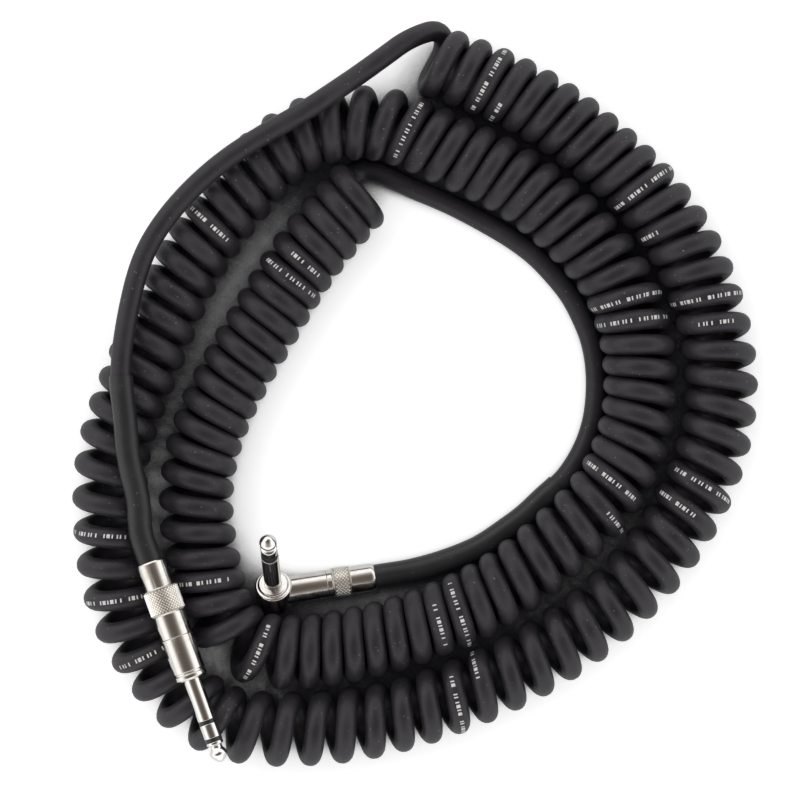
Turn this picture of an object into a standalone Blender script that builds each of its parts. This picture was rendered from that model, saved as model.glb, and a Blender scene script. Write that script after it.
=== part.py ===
"""An instrument cable: a curly cord laid twice round in a ring, between a straight three-contact
plug and a right-angle two-contact plug. Lengths are in millimetres up to the last step, which
turns them into metres. Each plug is drawn in its own frame, with +Z running to its tip."""

from math import atan2, ceil, cos, pi, radians, sin

import bmesh
import bpy
import numpy as np
from mathutils import Matrix, Vector

MM = 0.001
WELD = 1e-6
MERGE = 1e-5
SHARP = radians(35)

# Cord
CORD = 3.75
SHRINK_BORE = 4.0
SHRINK_WALL = 0.4
CORD_SIDES = 6

# Coil: the cord's middle runs CURL out from the coil's axis, which is AXIS_HEIGHT over the floor
CURL = 10.3
AXIS_HEIGHT = 12.25
CURLS = 90
POINTS_PER_CURL = 8
TIGHT_PITCH = 7.6
FIRST_PHASE = radians(112.5)
START_TRIM = 2.3
END_TRIM = 11.4
AXIS_STEPS = 6000

# Both plugs' pins follow the quarter-inch standard
PIN = 3.175
PIN_LENGTH = 31.5
FIXED_SIDES = 24
TURNING_SIDES = 32

# Straight plug: where its shoulder is, the way its tip points, and its nose-up angle
SHOULDER = (-23.1, -11.3, 29.9)
TIP_HEADING = radians(-70.1)
NOSE_UP = radians(2.73)
SEAM = -16.1
STRAIGHT_REAR = -44.7

# Right-angle plug: where pin and barrel axes cross, the pin's lean and the barrel's direction
HEAD = (5.4, 18.3, 8.12)
PIN_LEAN = radians(34.4)
PIN_AZIMUTH = radians(92.3)
BARREL_HEADING = radians(8.55)
BARREL_DIP = radians(4.5)
COLLAR_TOP = 6.9
NUT_SEAM = -19.7
NUT_REAR = -37.5

# The coil's axis, once round outside and once inside: x, y, and how much looser the curls lie there
COIL_ROUTE = (
    (58.3, 215.8, 0.1), (67.1, 213.1, 0.1), (99.3, 199.7, 0.1), (127.1, 180.3, 0.1),
    (151.3, 155.0, 0.4), (165.2, 125.7, 1.2), (170.3, 95.0, 1.3), (164.9, 64.9, 1.3),
    (151.3, 39.3, 2.2), (129.0, 13.3, 2.6), (101.5, -6.1, 2.4), (71.5, -19.7, 1.8),
    (43.3, -28.1, 1.8), (11.4, -32.5, 3.4), (-16.0, -28.8, 3.2), (-36.2, -12.7, 3.0),
    (-49.4, 12.9, 3.0), (-54.9, 41.5, 3.6), (-53.4, 70.8, 2.4), (-43.5, 101.6, 1.6),
    (-28.1, 136.7, 1.4), (-6.9, 166.0, 1.4), (18.7, 186.9, 1.6), (45.5, 192.0, 1.2),
    (70.0, 180.7, 0.1), (92.7, 168.6, 0.1), (113.2, 153.8, 0.1), (130.8, 133.0, 0.3),
    (138.9, 107.4, 0.2), (138.9, 83.6, 0.3), (129.3, 58.3, 0.4), (111.0, 37.8, 0.9),
    (86.9, 19.2, 0.4), (59.0, 6.3, 0.2), (33.4, -0.6, 0.3), (17.3, -2.9, 0.5), (4.4, -2.9, 0.6),
    (-7.2, 1.5, 0.7), (-15.2, 12.2, 0.8), (-19.6, 26.8, 1.0), (-23.0, 43.7, 0.9),
    (-22.6, 67.1, 0.4), (-13.5, 91.3, 0.1), (1.2, 115.8, 0.1), (17.3, 139.6, 0.1),
    (32.3, 157.9, 0.1), (39.2, 165.6, 0.1), (45.8, 172.6, 0.1),
)
# Where each free lead meets the coil's own end, and the way the cord runs there
START_CUT = (47.5, 215.3, 18.6)
START_RUN = (0.775, 0.590, -0.226)
START_BEND = 20.0
END_CUT = (47.5, 170.6, 3.85)
END_RUN = (0.91, -0.414, 0.0)
END_BEND = 14.0
BEND_STEPS = 5
STRAIGHT_LEAD_ROUTE = (
    (-42.4, 49.5, 28.4), (-46.5, 67.5, 30.7), (-49.4, 85.5, 31.7), (-51.2, 98.1, 31.0),
    (-48.2, 114.1, 29.2), (-40.6, 141.6, 26.9), (-28.3, 160.1, 27.2), (-9.8, 176.7, 28.8),
    (3.9, 185.4, 29.7), (17.7, 193.4, 30.0), (27.4, 200.0, 27.8),
)
ANGLED_LEAD_ROUTE = (
    (61.2, 164.3, 3.85), (70.7, 160.0, 3.85), (81.8, 154.0, 3.85), (92.7, 147.3, 3.85),
    (101.2, 140.8, 3.85), (107.8, 134.0, 3.85), (113.4, 127.1, 3.85), (117.5, 119.9, 3.85),
    (120.8, 111.7, 3.85), (122.5, 102.7, 3.85), (122.6, 93.1, 3.85), (121.8, 83.9, 3.85),
    (119.9, 75.1, 3.9), (116.1, 67.2, 4.2), (110.8, 60.2, 4.5), (103.6, 54.0, 4.5),
    (96.8, 47.3, 4.5), (88.8, 41.2, 4.5), (80.3, 35.7, 4.5), (72.6, 32.3, 4.5), (61.7, 28.4, 4.5),
)
LEAD_STEP = 15.0
PLUG_RUN = 8.0
SHRINK_IN = 3.2
STRAIGHT_SHRINK_POINTS = 6
ANGLED_SHRINK_POINTS = 7

NICKEL = ((0.62, 0.60, 0.57), 1.0, 0.22)
BRASS = ((0.70, 0.53, 0.27), 1.0, 0.3)
TINNED = ((0.55, 0.54, 0.52), 1.0, 0.4)
BLACK_PLASTIC = ((0.02, 0.02, 0.022), 0.0, 0.45)
PAPER = ((0.42, 0.25, 0.13), 0.0, 0.7)
RUBBER = ((0.03, 0.03, 0.032), 0.0, 0.6)
SHRINK = ((0.025, 0.025, 0.027), 0.0, 0.5)
CLEAR_PLASTIC = ((0.75, 0.74, 0.70), 0.0, 0.4)
WHITE_PLASTIC = ((0.80, 0.79, 0.76), 0.0, 0.5)
COPPER = ((0.72, 0.43, 0.29), 1.0, 0.35)


def clear_scene():
    """Takes every object out of the scene."""
    for item in list(bpy.data.objects):
        bpy.data.objects.remove(item, do_unlink=True)


def new_collection(name, hidden):
    """A collection under the scene's own, hidden from renders for cutters."""
    collection = bpy.data.collections.new(name)
    collection.hide_render = hidden
    bpy.context.scene.collection.children.link(collection)
    return collection


def finish_of(name, finish):
    """A material of its own for one piece."""
    colour, metallic, roughness = finish
    material = bpy.data.materials.new(name + "_finish")
    material.use_nodes = True
    shader = material.node_tree.nodes["Principled BSDF"]
    shader.inputs["Base Color"].default_value = (*colour, 1)
    shader.inputs["Metallic"].default_value = metallic
    shader.inputs["Roughness"].default_value = roughness
    material.diffuse_color = (*colour, 1)
    return material


def baked(obj, finish=None):
    """The object with its modifiers worked out, as one welded mesh, shaded smooth where it is round."""
    name, place = obj.name, obj.matrix_world.copy()
    bpy.context.view_layer.update()
    graph = bpy.context.evaluated_depsgraph_get()
    mesh = bpy.data.meshes.new_from_object(obj.evaluated_get(graph))
    group = obj.users_collection[0]
    bpy.data.objects.remove(obj, do_unlink=True)
    work = bmesh.new()
    work.from_mesh(mesh)
    bmesh.ops.remove_doubles(work, verts=work.verts, dist=WELD)
    bmesh.ops.recalc_face_normals(work, faces=work.faces)
    work.to_mesh(mesh)
    work.free()
    mesh.shade_smooth()
    mesh.set_sharp_from_angle(angle=SHARP)
    mesh.name = name
    mesh.materials.clear()
    if finish:
        mesh.materials.append(finish_of(name, finish))
    made = bpy.data.objects.new(name, mesh)
    made.matrix_world = place
    group.objects.link(made)
    return made


def turned(name, profile, place, finish, sides=FIXED_SIDES, group=None):
    """A piece turned on its frame's Z axis. The profile lists (radius, height), from the top down the
    outer side. It closes on itself for a bored piece, and starts and ends on the axis for a solid one."""
    solid = profile[0][0] == 0
    count = len(profile)
    edges = [(i, (i + 1) % count) for i in range(count - solid)]
    mesh = bpy.data.meshes.new(name)
    mesh.from_pydata([(radius * MM, 0, height * MM) for radius, height in profile], edges, [])
    obj = bpy.data.objects.new(name, mesh)
    (group or PARTS).objects.link(obj)
    obj.matrix_world = place
    screw = obj.modifiers.new("turn", "SCREW")
    screw.steps = sides
    screw.render_steps = sides
    screw.use_merge_vertices = True
    screw.merge_threshold = MERGE
    return baked(obj, finish)


def box(name, size, centre, place):
    """A cutting block, sized and placed in its frame."""
    mesh = bpy.data.meshes.new(name)
    work = bmesh.new()
    bmesh.ops.create_cube(work, size=1)
    bmesh.ops.scale(work, vec=Vector(size) * MM, verts=work.verts)
    bmesh.ops.translate(work, vec=Vector(centre) * MM, verts=work.verts)
    work.to_mesh(mesh)
    work.free()
    obj = bpy.data.objects.new(name, mesh)
    CUTTERS.objects.link(obj)
    obj.matrix_world = place
    return obj


def combined(obj, others, operation, finish):
    """The object after one exact Boolean with each helper, which is then put out of the render."""
    name, place = obj.name, obj.matrix_world.copy()
    for helper in others:
        helper.hide_render = True
        helper.display_type = "WIRE"
        step = obj.modifiers.new(helper.name, "BOOLEAN")
        step.operation = operation
        step.solver = "EXACT"
        step.object = helper
    made = baked(obj, finish)
    made.name = name
    made.matrix_world = place
    return made


def tube(name, points, radius, finish, resolution, place=Matrix(), capped=True, tilts=None):
    """A round tube through points in its frame."""
    curve = bpy.data.curves.new(name, "CURVE")
    curve.dimensions = "3D"
    curve.bevel_depth = radius * MM
    curve.bevel_resolution = resolution
    curve.use_fill_caps = capped
    spline = curve.splines.new("POLY")
    spline.points.add(len(points) - 1)
    for index, (knot, point) in enumerate(zip(spline.points, points)):
        knot.co = (*(Vector(point) * MM), 1)
        knot.tilt = tilts[index] if tilts is not None else 0
    obj = bpy.data.objects.new(name, curve)
    PARTS.objects.link(obj)
    obj.matrix_world = place
    return obj if finish is None else baked(obj, finish)


def spline_through(points, start=None, end=None):
    """A smooth curve through the points: returns its knots' parameters and a function of them. A given
    end direction is kept, and the curve ends unbent where none is given."""
    points = np.array(points, float)
    steps = np.linalg.norm(np.diff(points, axis=0), axis=1)
    knots = np.concatenate(([0], np.cumsum(steps)))
    count = len(points)
    system = np.zeros((count, count))
    right = np.zeros((count, points.shape[1]))
    slopes = np.diff(points, axis=0) / steps[:, None]
    for i in range(1, count - 1):
        system[i, i - 1 : i + 2] = steps[i - 1], 2 * (steps[i - 1] + steps[i]), steps[i]
        right[i] = 6 * (slopes[i] - slopes[i - 1])
    system[0, 0] = system[-1, -1] = 1
    if start is not None:
        system[0, :2] = 2 * steps[0], steps[0]
        right[0] = 6 * (slopes[0] - np.array(start))
    if end is not None:
        system[-1, -2:] = steps[-1], 2 * steps[-1]
        right[-1] = 6 * (np.array(end) - slopes[-1])
    bends = np.linalg.solve(system, right)

    def at(where):
        where = np.atleast_1d(where)
        i = np.clip(np.searchsorted(knots, where, side="right") - 1, 0, count - 2)
        step = steps[i][:, None]
        before, after = (knots[i + 1] - where)[:, None], (where - knots[i])[:, None]
        cubic = (bends[i] * before**3 + bends[i + 1] * after**3) / (6 * step)
        first = (points[i] / step - bends[i] * step / 6) * before
        return cubic + first + (points[i + 1] / step - bends[i + 1] * step / 6) * after

    return knots, at


def coil_axis():
    """The coil's axis and its curls: for every fraction of a curl from the first to the last, the
    place of the axis and the way it runs."""
    route = np.array(COIL_ROUTE)
    knots, at = spline_through(route[:, :2])
    along = np.linspace(START_TRIM, knots[-1] - END_TRIM, AXIS_STEPS)
    place = at(along)
    step = np.linalg.norm(np.diff(place, axis=0), axis=1)
    length = np.concatenate(([0], np.cumsum(step)))
    run = np.gradient(place, length, axis=0)
    run /= np.linalg.norm(run, axis=1)[:, None]
    bend = np.abs(np.gradient(np.unwrap(np.arctan2(run[:, 1], run[:, 0])), length))
    slack = np.interp(along, knots, route[:, 2])
    rate = (1 - CURL * bend) / (TIGHT_PITCH + slack)
    turns = np.concatenate(([0], np.cumsum((rate[1:] + rate[:-1]) / 2 * step)))
    turns *= CURLS / turns[-1]

    def state(turn):
        where = [np.interp(turn, turns, values) for values in (*place.T, *run.T)]
        heading = Vector((where[2], where[3], 0)).normalized()
        return Vector((where[0], where[1], AXIS_HEIGHT)), heading

    return state


def bend_between(first, first_run, last, last_run):
    """Points of a smooth bend that leaves along one direction and arrives along the other."""
    points = []
    for i in range(1, BEND_STEPS):
        t = i / BEND_STEPS
        weights = (2 * t**3 - 3 * t**2 + 1, t**3 - 2 * t**2 + t, 3 * t**2 - 2 * t**3, t**3 - t**2)
        parts = zip(weights, (first, first_run, last, last_run))
        points.append(sum((weight * part for weight, part in parts), Vector()))
    return points


def coil_points():
    """The middle line of the whole curly cord, and the way out from the coil's axis at each point."""
    state = coil_axis()
    points, outs = [], []
    count = CURLS * POINTS_PER_CURL
    for i in range(count + 1):
        turn = i / POINTS_PER_CURL
        axis, heading = state(turn)
        side = Vector((-heading.y, heading.x, 0))
        phase = FIRST_PHASE + 2 * pi * turn
        out = side * sin(phase) + Vector((0, 0, cos(phase)))
        points.append(axis + CURL * out)
        outs.append(out)
    start, start_run = Vector(START_CUT), Vector(START_RUN).normalized()
    end, end_run = Vector(END_CUT), Vector(END_RUN).normalized()
    run_in = start + 2 * CORD * start_run
    run_out = end - 2 * CORD * end_run
    first_run = (points[1] - points[0]).normalized()
    last_run = (points[-1] - points[-2]).normalized()
    lead_in = [start, run_in]
    lead_in += bend_between(run_in, start_run * START_BEND, points[0], first_run * START_BEND)
    lead_out = bend_between(points[-1], last_run * END_BEND, run_out, end_run * END_BEND)
    lead_out += [run_out, end]
    outs = [Vector((0, 0, 1))] * len(lead_in) + outs + [Vector((0, 0, -1))] * len(lead_out)
    return lead_in + points + lead_out, outs


def least_gap(points):
    """The least space that the cord leaves between two of its own stretches."""
    line = []
    for a, b in zip(points, points[1:]):
        line += [a.lerp(b, k / 4) for k in range(4)]
    line = np.array(line)
    length = np.concatenate(([0], np.cumsum(np.linalg.norm(np.diff(line, axis=0), axis=1))))
    least = 1e9
    for i in range(len(line)):
        apart = np.linalg.norm(line - line[i], axis=1)
        apart[np.abs(length - length[i]) < 5 * CORD] = 1e9
        least = min(least, apart.min())
    return least - 2 * CORD


def level_tilts(name, points, outs):
    """The tilt that turns one flat side of the faceted cord outwards at every point, read from an
    untilted tube whose rings follow its two caps."""
    plain = tube(name, points, CORD, None, 1)
    bpy.context.view_layer.update()
    graph = bpy.context.evaluated_depsgraph_get()
    mesh = bpy.data.meshes.new_from_object(plain.evaluated_get(graph))
    rings = np.array([vertex.co for vertex in mesh.vertices])[2 * CORD_SIDES :] / MM
    rings = rings.reshape(-1, CORD_SIDES, 3)
    bpy.data.objects.remove(plain, do_unlink=True)
    tilts, turns = [], 0.0
    for i, (ring, out) in enumerate(zip(rings, outs)):
        before, after = points[max(i - 1, 0)], points[min(i + 1, len(points) - 1)]
        along = (after - before).normalized()
        spoke = Vector(ring[0]) - points[i]
        angle = atan2(spoke.cross(out).dot(along), spoke.dot(out)) - pi / CORD_SIDES
        sixth = 2 * pi / CORD_SIDES
        angle += sixth * round((turns - angle) / sixth)
        turns = angle
        tilts.append(angle)
    return tilts


def make_curly_cord():
    """The curly cord, pressed flat where its curls stand on the floor."""
    points, outs = coil_points()
    print(f"curly cord: least gap to itself {least_gap(points):.2f} mm")
    tilts = level_tilts("curly_cord", points, outs)
    cord = tube("curly_cord", points, CORD, RUBBER, 1, tilts=tilts)
    for vertex in cord.data.vertices:
        vertex.co.z = max(vertex.co.z, 0)
    return cord


def frame_of(origin, up, across):
    """The frame at an origin whose Z runs along up, and whose X is the part of across square to it."""
    z = up.normalized()
    x = (across - across.dot(z) * z).normalized()
    y = z.cross(x)
    place = Matrix((x, y, z)).transposed().to_4x4()
    place.translation = Vector(origin) * MM
    return place


def straight_frame():
    """The straight plug's frame: Z to the tip, X to the plug's upper side."""
    flat = cos(NOSE_UP)
    tip = Vector((cos(TIP_HEADING) * flat, sin(TIP_HEADING) * flat, sin(NOSE_UP)))
    return frame_of(SHOULDER, tip, Vector((0, 0, 1)))


def angled_frames():
    """The right-angle plug's pin frame, with X along its barrel to the rear, and its barrel frame,
    with Z along the barrel to the head."""
    lean = Vector((cos(PIN_AZIMUTH), sin(PIN_AZIMUTH), 0)) * sin(PIN_LEAN)
    pin = lean + Vector((0, 0, cos(PIN_LEAN)))
    flat = cos(BARREL_DIP)
    barrel = Vector((cos(BARREL_HEADING) * flat, sin(BARREL_HEADING) * flat, -sin(BARREL_DIP)))
    pin_place = frame_of(HEAD, pin, barrel)
    x, y, z = (Vector(column[:3]) for column in list(pin_place.transposed())[:3])
    barrel_place = Matrix((z, y, -x)).transposed().to_4x4()
    barrel_place.translation = Vector(HEAD) * MM
    return pin_place, barrel_place


def in_frame(place, point):
    """A point of a frame, in the object's own millimetres."""
    return place @ (Vector(point) * MM) / MM


def lug(name, bore, radius, top, thickness, tail_angle, tail_end, place):
    """A solder lug: a washer with a tail that runs back from its rim."""
    washer = turned(
        name,
        ((bore, top), (radius, top), (radius, top - thickness), (bore, top - thickness)),
        place,
        TINNED,
    )
    reach = radius - 0.06
    turn = Matrix.Rotation(tail_angle, 4, "Z")
    length = top - 0.1 - tail_end
    size = (0.5, 1.3, length)
    tail = box(name + "_tail", size, (reach - 0.4, 0, top - 0.1 - length / 2), place @ turn)
    return combined(washer, [tail], "UNION", TINNED)


def make_straight_pin(place):
    """Tip, ring and sleeve contacts of the straight plug with their insulators."""
    turned(
        "straight_tip",
        (
            (0, PIN_LENGTH), (1.1, 31.3), (1.9, 30.7), (PIN, 28.6), (PIN, 28.0), (2.1, 26.1),
            (2.1, 25.3), (3.0, 24.8), (3.0, 23.75), (0.9, 23.75), (0.9, -10.7), (0, -10.7),
        ),
        place,
        NICKEL,
    )
    turned(
        "straight_front_insulator",
        ((0.95, 23.7), (3.1, 23.7), (3.1, 22.35), (1.3, 22.35), (1.3, -8.45), (0.95, -8.45)),
        place,
        BLACK_PLASTIC,
    )
    turned(
        "straight_ring_contact",
        ((1.35, 22.3), (PIN, 22.3), (PIN, 17.05), (1.8, 17.05), (1.8, -8.4), (1.35, -8.4)),
        place,
        NICKEL,
    )
    turned(
        "straight_rear_insulator",
        ((1.85, 17.0), (3.1, 17.0), (3.1, 15.65), (2.3, 15.65), (2.3, -6.8), (1.85, -6.8)),
        place,
        BLACK_PLASTIC,
    )
    turned(
        "straight_sleeve_contact",
        ((2.35, 15.6), (PIN, 15.6), (PIN, -4.6), (4.1, -4.6), (4.1, -6.2), (2.35, -6.2)),
        place,
        NICKEL,
    )


def make_straight_lugs(place):
    """The stack of lugs and washers behind the straight plug's pin."""
    lug("straight_sleeve_lug", 2.4, 3.9, -6.25, 0.5, radians(200), -12.2, place)
    turned(
        "straight_insulating_washer",
        ((1.85, -6.85), (3.2, -6.85), (3.2, -7.75), (1.85, -7.75)),
        place,
        PAPER,
    )
    lug("straight_ring_lug", 1.85, 3.1, -7.85, 0.5, radians(80), -12.2, place)
    turned(
        "straight_tip_washer",
        ((0.95, -8.5), (2.4, -8.5), (2.4, -9.55), (0.95, -9.55)),
        place,
        PAPER,
    )
    lug("straight_tip_lug", 0.95, 2.4, -9.65, 0.5, radians(320), -12.8, place)


def make_straight_shells(place):
    """The front body, the rear shell that screws on it, and the liner inside."""
    turned(
        "straight_front_body",
        (
            (3.25, 0), (5.1, 0), (5.85, -0.75), (5.85, -2.0), (5.55, -2.3), (5.55, -2.9),
            (5.85, -3.2), (5.85, SEAM), (4.85, SEAM), (4.85, -23.0), (4.2, -23.0), (4.2, -4.5),
            (3.25, -4.5),
        ),
        place,
        NICKEL,
    )
    turned(
        "straight_rear_shell",
        (
            (5.08, SEAM - 0.1), (5.85, SEAM - 0.1), (5.85, -25.0), (6.3, -25.2), (6.6, -25.6),
            (6.6, -34.3), (6.3, -34.7), (5.35, -34.8), (5.35, -44.1), (4.95, STRAIGHT_REAR),
            (4.7, STRAIGHT_REAR), (4.7, -35.0), (5.08, -34.5),
        ),
        place,
        NICKEL,
        TURNING_SIDES,
    )
    turned(
        "straight_liner",
        ((3.7, -12.5), (4.1, -12.5), (4.1, -27.6), (4.8, -27.6), (4.8, -28.3), (3.7, -28.3)),
        place,
        CLEAR_PLASTIC,
    )


def make_chuck(name, bore, radius, front, rear, place):
    """A clamp ring, slotted from the rear so that its fingers close on the cord."""
    ring = turned(
        name,
        ((bore, front), (radius, front), (radius, rear + 0.4), (radius - 0.3, rear), (bore, rear)),
        place,
        BRASS,
    )
    depth = front - rear - 1.2
    slots = [
        box(f"{name}_slot_{axis}", size, (0, 0, rear - 1 + (depth + 1) / 2), place)
        for axis, size in (
            ("x", (3 * radius, 0.8, depth + 1)),
            ("y", (0.8, 3 * radius, depth + 1)),
        )
    ]
    return combined(ring, slots, "DIFFERENCE", BRASS)


def make_cord_end(side, front, rear, place):
    """The cord's layers where a plug holds it: rubber jacket and braided shield."""
    turned(
        side + "_jacket_end",
        ((2.2, front), (CORD, front), (CORD, rear), (2.2, rear)),
        place,
        RUBBER,
    )
    turned(
        side + "_shield_braid",
        ((1.4, front + 1.5), (2.1, front + 1.5), (2.1, rear), (1.4, rear)),
        place,
        COPPER,
    )


def make_straight_wiring(place):
    """The core wire and the shield's pigtail inside the straight plug."""
    across, upright = cos(radians(320)), sin(radians(320))
    offsets = (
        (0, STRAIGHT_REAR), (0, -29.0), (0.15, -25.5), (0.7, -21.5), (1.35, -18.0), (1.85, -15.0),
        (1.95, -13.1),
    )
    core = [(reach * across, reach * upright, height) for reach, height in offsets]
    tube("straight_core_wire", core, 1.3, WHITE_PLASTIC, 2, place)
    across, upright = cos(radians(200)), sin(radians(200))
    offsets = ((2.05, -27.2), (2.2, -22.0), (2.5, -17.0), (2.65, -10.6))
    pigtail = [(reach * across, reach * upright, height) for reach, height in offsets]
    tube("straight_shield_pigtail", pigtail, 0.6, COPPER, 1, place)


def make_straight_plug(place):
    """The whole straight plug."""
    make_straight_pin(place)
    make_straight_lugs(place)
    make_straight_shells(place)
    make_chuck("straight_chuck", 4.0, 4.9, -28.8, -34.2, place)
    make_cord_end("straight", -29.0, STRAIGHT_REAR, place)
    make_straight_wiring(place)


def make_angled_head(pin_place, barrel_place):
    """The head with its collar, bored for the pin and the wires, with the stub that the nut screws on."""
    head = turned(
        "angled_head",
        (
            (0, COLLAR_TOP), (5.1, COLLAR_TOP), (5.6, 6.4), (5.6, 5.7), (6.3, 5.7), (6.8, 5.2),
            (6.8, -4.8), (6.2, -5.4), (0, -5.4),
        ),
        pin_place,
        NICKEL,
        TURNING_SIDES,
    )
    stub = turned(
        "angled_stub",
        ((0, -1.0), (5.1, -1.0), (5.1, NUT_SEAM), (4.1, NUT_SEAM), (4.1, -24.2), (0, -24.2)),
        barrel_place,
        None,
        group=CUTTERS,
    )
    head = combined(head, [stub], "UNION", NICKEL)
    cavity = turned(
        "angled_cavity",
        ((0, 3.8), (5.15, 3.8), (5.15, -6.5), (0, -6.5)),
        pin_place,
        None,
        group=CUTTERS,
    )
    pin_bore = turned(
        "angled_pin_bore", ((0, 8), (3.25, 8), (3.25, 2), (0, 2)), pin_place, None, group=CUTTERS
    )
    wire_bore = turned(
        "angled_wire_bore", ((0, 0), (3.3, 0), (3.3, -26), (0, -26)), barrel_place, None, group=CUTTERS
    )
    return combined(head, [cavity, pin_bore, wire_bore], "DIFFERENCE", NICKEL)


def make_angled_pin(place):
    """Tip and sleeve contacts of the right-angle plug, the insulator between them, and the lugs."""
    top = COLLAR_TOP + PIN_LENGTH
    turned(
        "angled_tip",
        (
            (0, top), (1.1, top - 0.2), (1.9, top - 0.8), (PIN, top - 2.9), (PIN, top - 3.5),
            (2.1, top - 5.4), (2.1, top - 6.2), (3.1, top - 6.8), (3.1, 28.65), (1.0, 28.65),
            (1.0, -0.4), (0, -0.4),
        ),
        place,
        NICKEL,
    )
    turned(
        "angled_insulator",
        ((1.05, 28.6), (3.1, 28.6), (3.1, 25.8), (1.9, 25.8), (1.9, 1.9), (1.05, 1.9)),
        place,
        BLACK_PLASTIC,
    )
    turned(
        "angled_sleeve_contact",
        ((1.95, 25.75), (PIN, 25.75), (PIN, 3.7), (4.1, 3.7), (4.1, 2.5), (1.95, 2.5)),
        place,
        NICKEL,
    )
    lug("angled_sleeve_lug", 1.95, 3.9, 2.45, 0.5, radians(25), 0.4, place)
    turned(
        "angled_insulating_washer",
        ((1.05, 1.85), (2.6, 1.85), (2.6, 0.85), (1.05, 0.85)),
        place,
        PAPER,
    )
    lug("angled_tip_lug", 1.05, 2.4, 0.8, 0.5, 0, -2.5, place)


def make_angled_nut(place):
    """The knurled nut that closes the barrel."""
    turned(
        "angled_nut",
        (
            (4.3, NUT_SEAM - 0.1), (5.1, NUT_SEAM - 0.1), (5.1, -21.8), (5.6, -22.0), (5.85, -22.4),
            (5.85, -27.8), (5.6, -28.2), (5.1, -28.3), (5.1, -36.3), (4.75, -37.2),
            (4.6, NUT_REAR), (4.6, -29.4), (4.95, -28.9), (4.95, -24.6), (4.3, -24.6),
        ),
        place,
        NICKEL,
        TURNING_SIDES,
    )


def make_angled_wiring(place):
    """The core wire and the shield's pigtail inside the right-angle plug, in its pin frame."""
    core = (
        (-NUT_REAR, 0, 0), (24.6, 0, 0), (19.0, 0, -0.15), (13.0, 0, -0.8), (8.0, 0, -1.25),
        (2.75, 0, -1.35),
    )
    tube("angled_core_wire", core, 1.3, WHITE_PLASTIC, 2, place)
    pigtail = ((22.9, 1.45, 1.45), (16.0, 1.5, 1.5), (9.0, 1.6, 1.3), (4.2, 1.75, 1.1))
    tube("angled_shield_pigtail", pigtail, 0.6, COPPER, 1, place)


def make_angled_plug(pin_place, barrel_place):
    """The whole right-angle plug."""
    make_angled_head(pin_place, barrel_place)
    turned(
        "angled_back_plate",
        ((0, -4.3), (5.05, -4.3), (5.05, -5.3), (0, -5.3)),
        pin_place,
        NICKEL,
    )
    make_angled_pin(pin_place)
    make_angled_nut(barrel_place)
    make_chuck("angled_chuck", 3.95, 4.75, -25.2, -28.4, barrel_place)
    make_cord_end("angled", -24.6, NUT_REAR, barrel_place)
    make_angled_wiring(pin_place)


def lead_points(plug_place, rear, route, meet, meet_run):
    """A lead's middle line, from the plug's rear straight out, along its route, and straight into the
    coil's end."""
    out = (in_frame(plug_place, (0, 0, -1)) - in_frame(plug_place, (0, 0, 0))).normalized()
    plug_end = in_frame(plug_place, (0, 0, rear - 0.3))
    leave = plug_end + PLUG_RUN * out
    arrive = Vector(meet) - 2 * CORD * meet_run
    coil_end = Vector(meet) - 0.3 * meet_run
    knots, at = spline_through([leave, *route, arrive], out, meet_run)
    count = ceil(knots[-1] / LEAD_STEP)
    between = [Vector(point) for point in at(np.linspace(0, knots[-1], count + 1))]
    return [plug_end, *between, coil_end]


def make_shrink(name, points, plug_place, rear, count):
    """A heat-shrink sleeve over the first points of a lead, its front end just inside the plug."""
    front = in_frame(plug_place, (0, 0, rear + SHRINK_IN))
    skin = tube(name, [front, *points[1:count]], SHRINK_BORE, None, 3, capped=False)
    wall = skin.modifiers.new("wall", "SOLIDIFY")
    wall.thickness = SHRINK_WALL * MM
    wall.offset = 1
    return baked(skin, SHRINK)


clear_scene()
PARTS = new_collection("instrument_cable", False)
CUTTERS = new_collection("cutters", True)
straight_place = straight_frame()
pin_place, barrel_place = angled_frames()
make_straight_plug(straight_place)
make_angled_plug(pin_place, barrel_place)
make_curly_cord()
straight_line = lead_points(
    straight_place, STRAIGHT_REAR, STRAIGHT_LEAD_ROUTE, START_CUT, Vector(START_RUN).normalized()
)
angled_line = lead_points(
    barrel_place, NUT_REAR, ANGLED_LEAD_ROUTE[::-1], END_CUT, -Vector(END_RUN).normalized()
)
tube("straight_lead", straight_line, CORD, RUBBER, 3)
tube("angled_lead", angled_line, CORD, RUBBER, 3)
make_shrink("straight_heat_shrink", straight_line, straight_place, STRAIGHT_REAR, STRAIGHT_SHRINK_POINTS)
make_shrink("angled_heat_shrink", angled_line, barrel_place, NUT_REAR, ANGLED_SHRINK_POINTS)
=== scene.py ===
"""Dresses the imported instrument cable: a curly cord between a straight and a right-angle plug.

Lengths are in millimetres until a mesh is made. Each plug is drawn in its own frame, with +Z running
to its tip, and every finished mesh stands in the model's frame, in metres, with its object at the
origin.
"""

from __future__ import annotations

import logging
from collections.abc import Callable, Iterable, Sequence
from dataclasses import dataclass, field
from enum import Enum
from math import cos, pi, radians, sin
from typing import Any

import bmesh
import bpy
import numpy as np
from mathutils import Matrix, Vector


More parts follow.
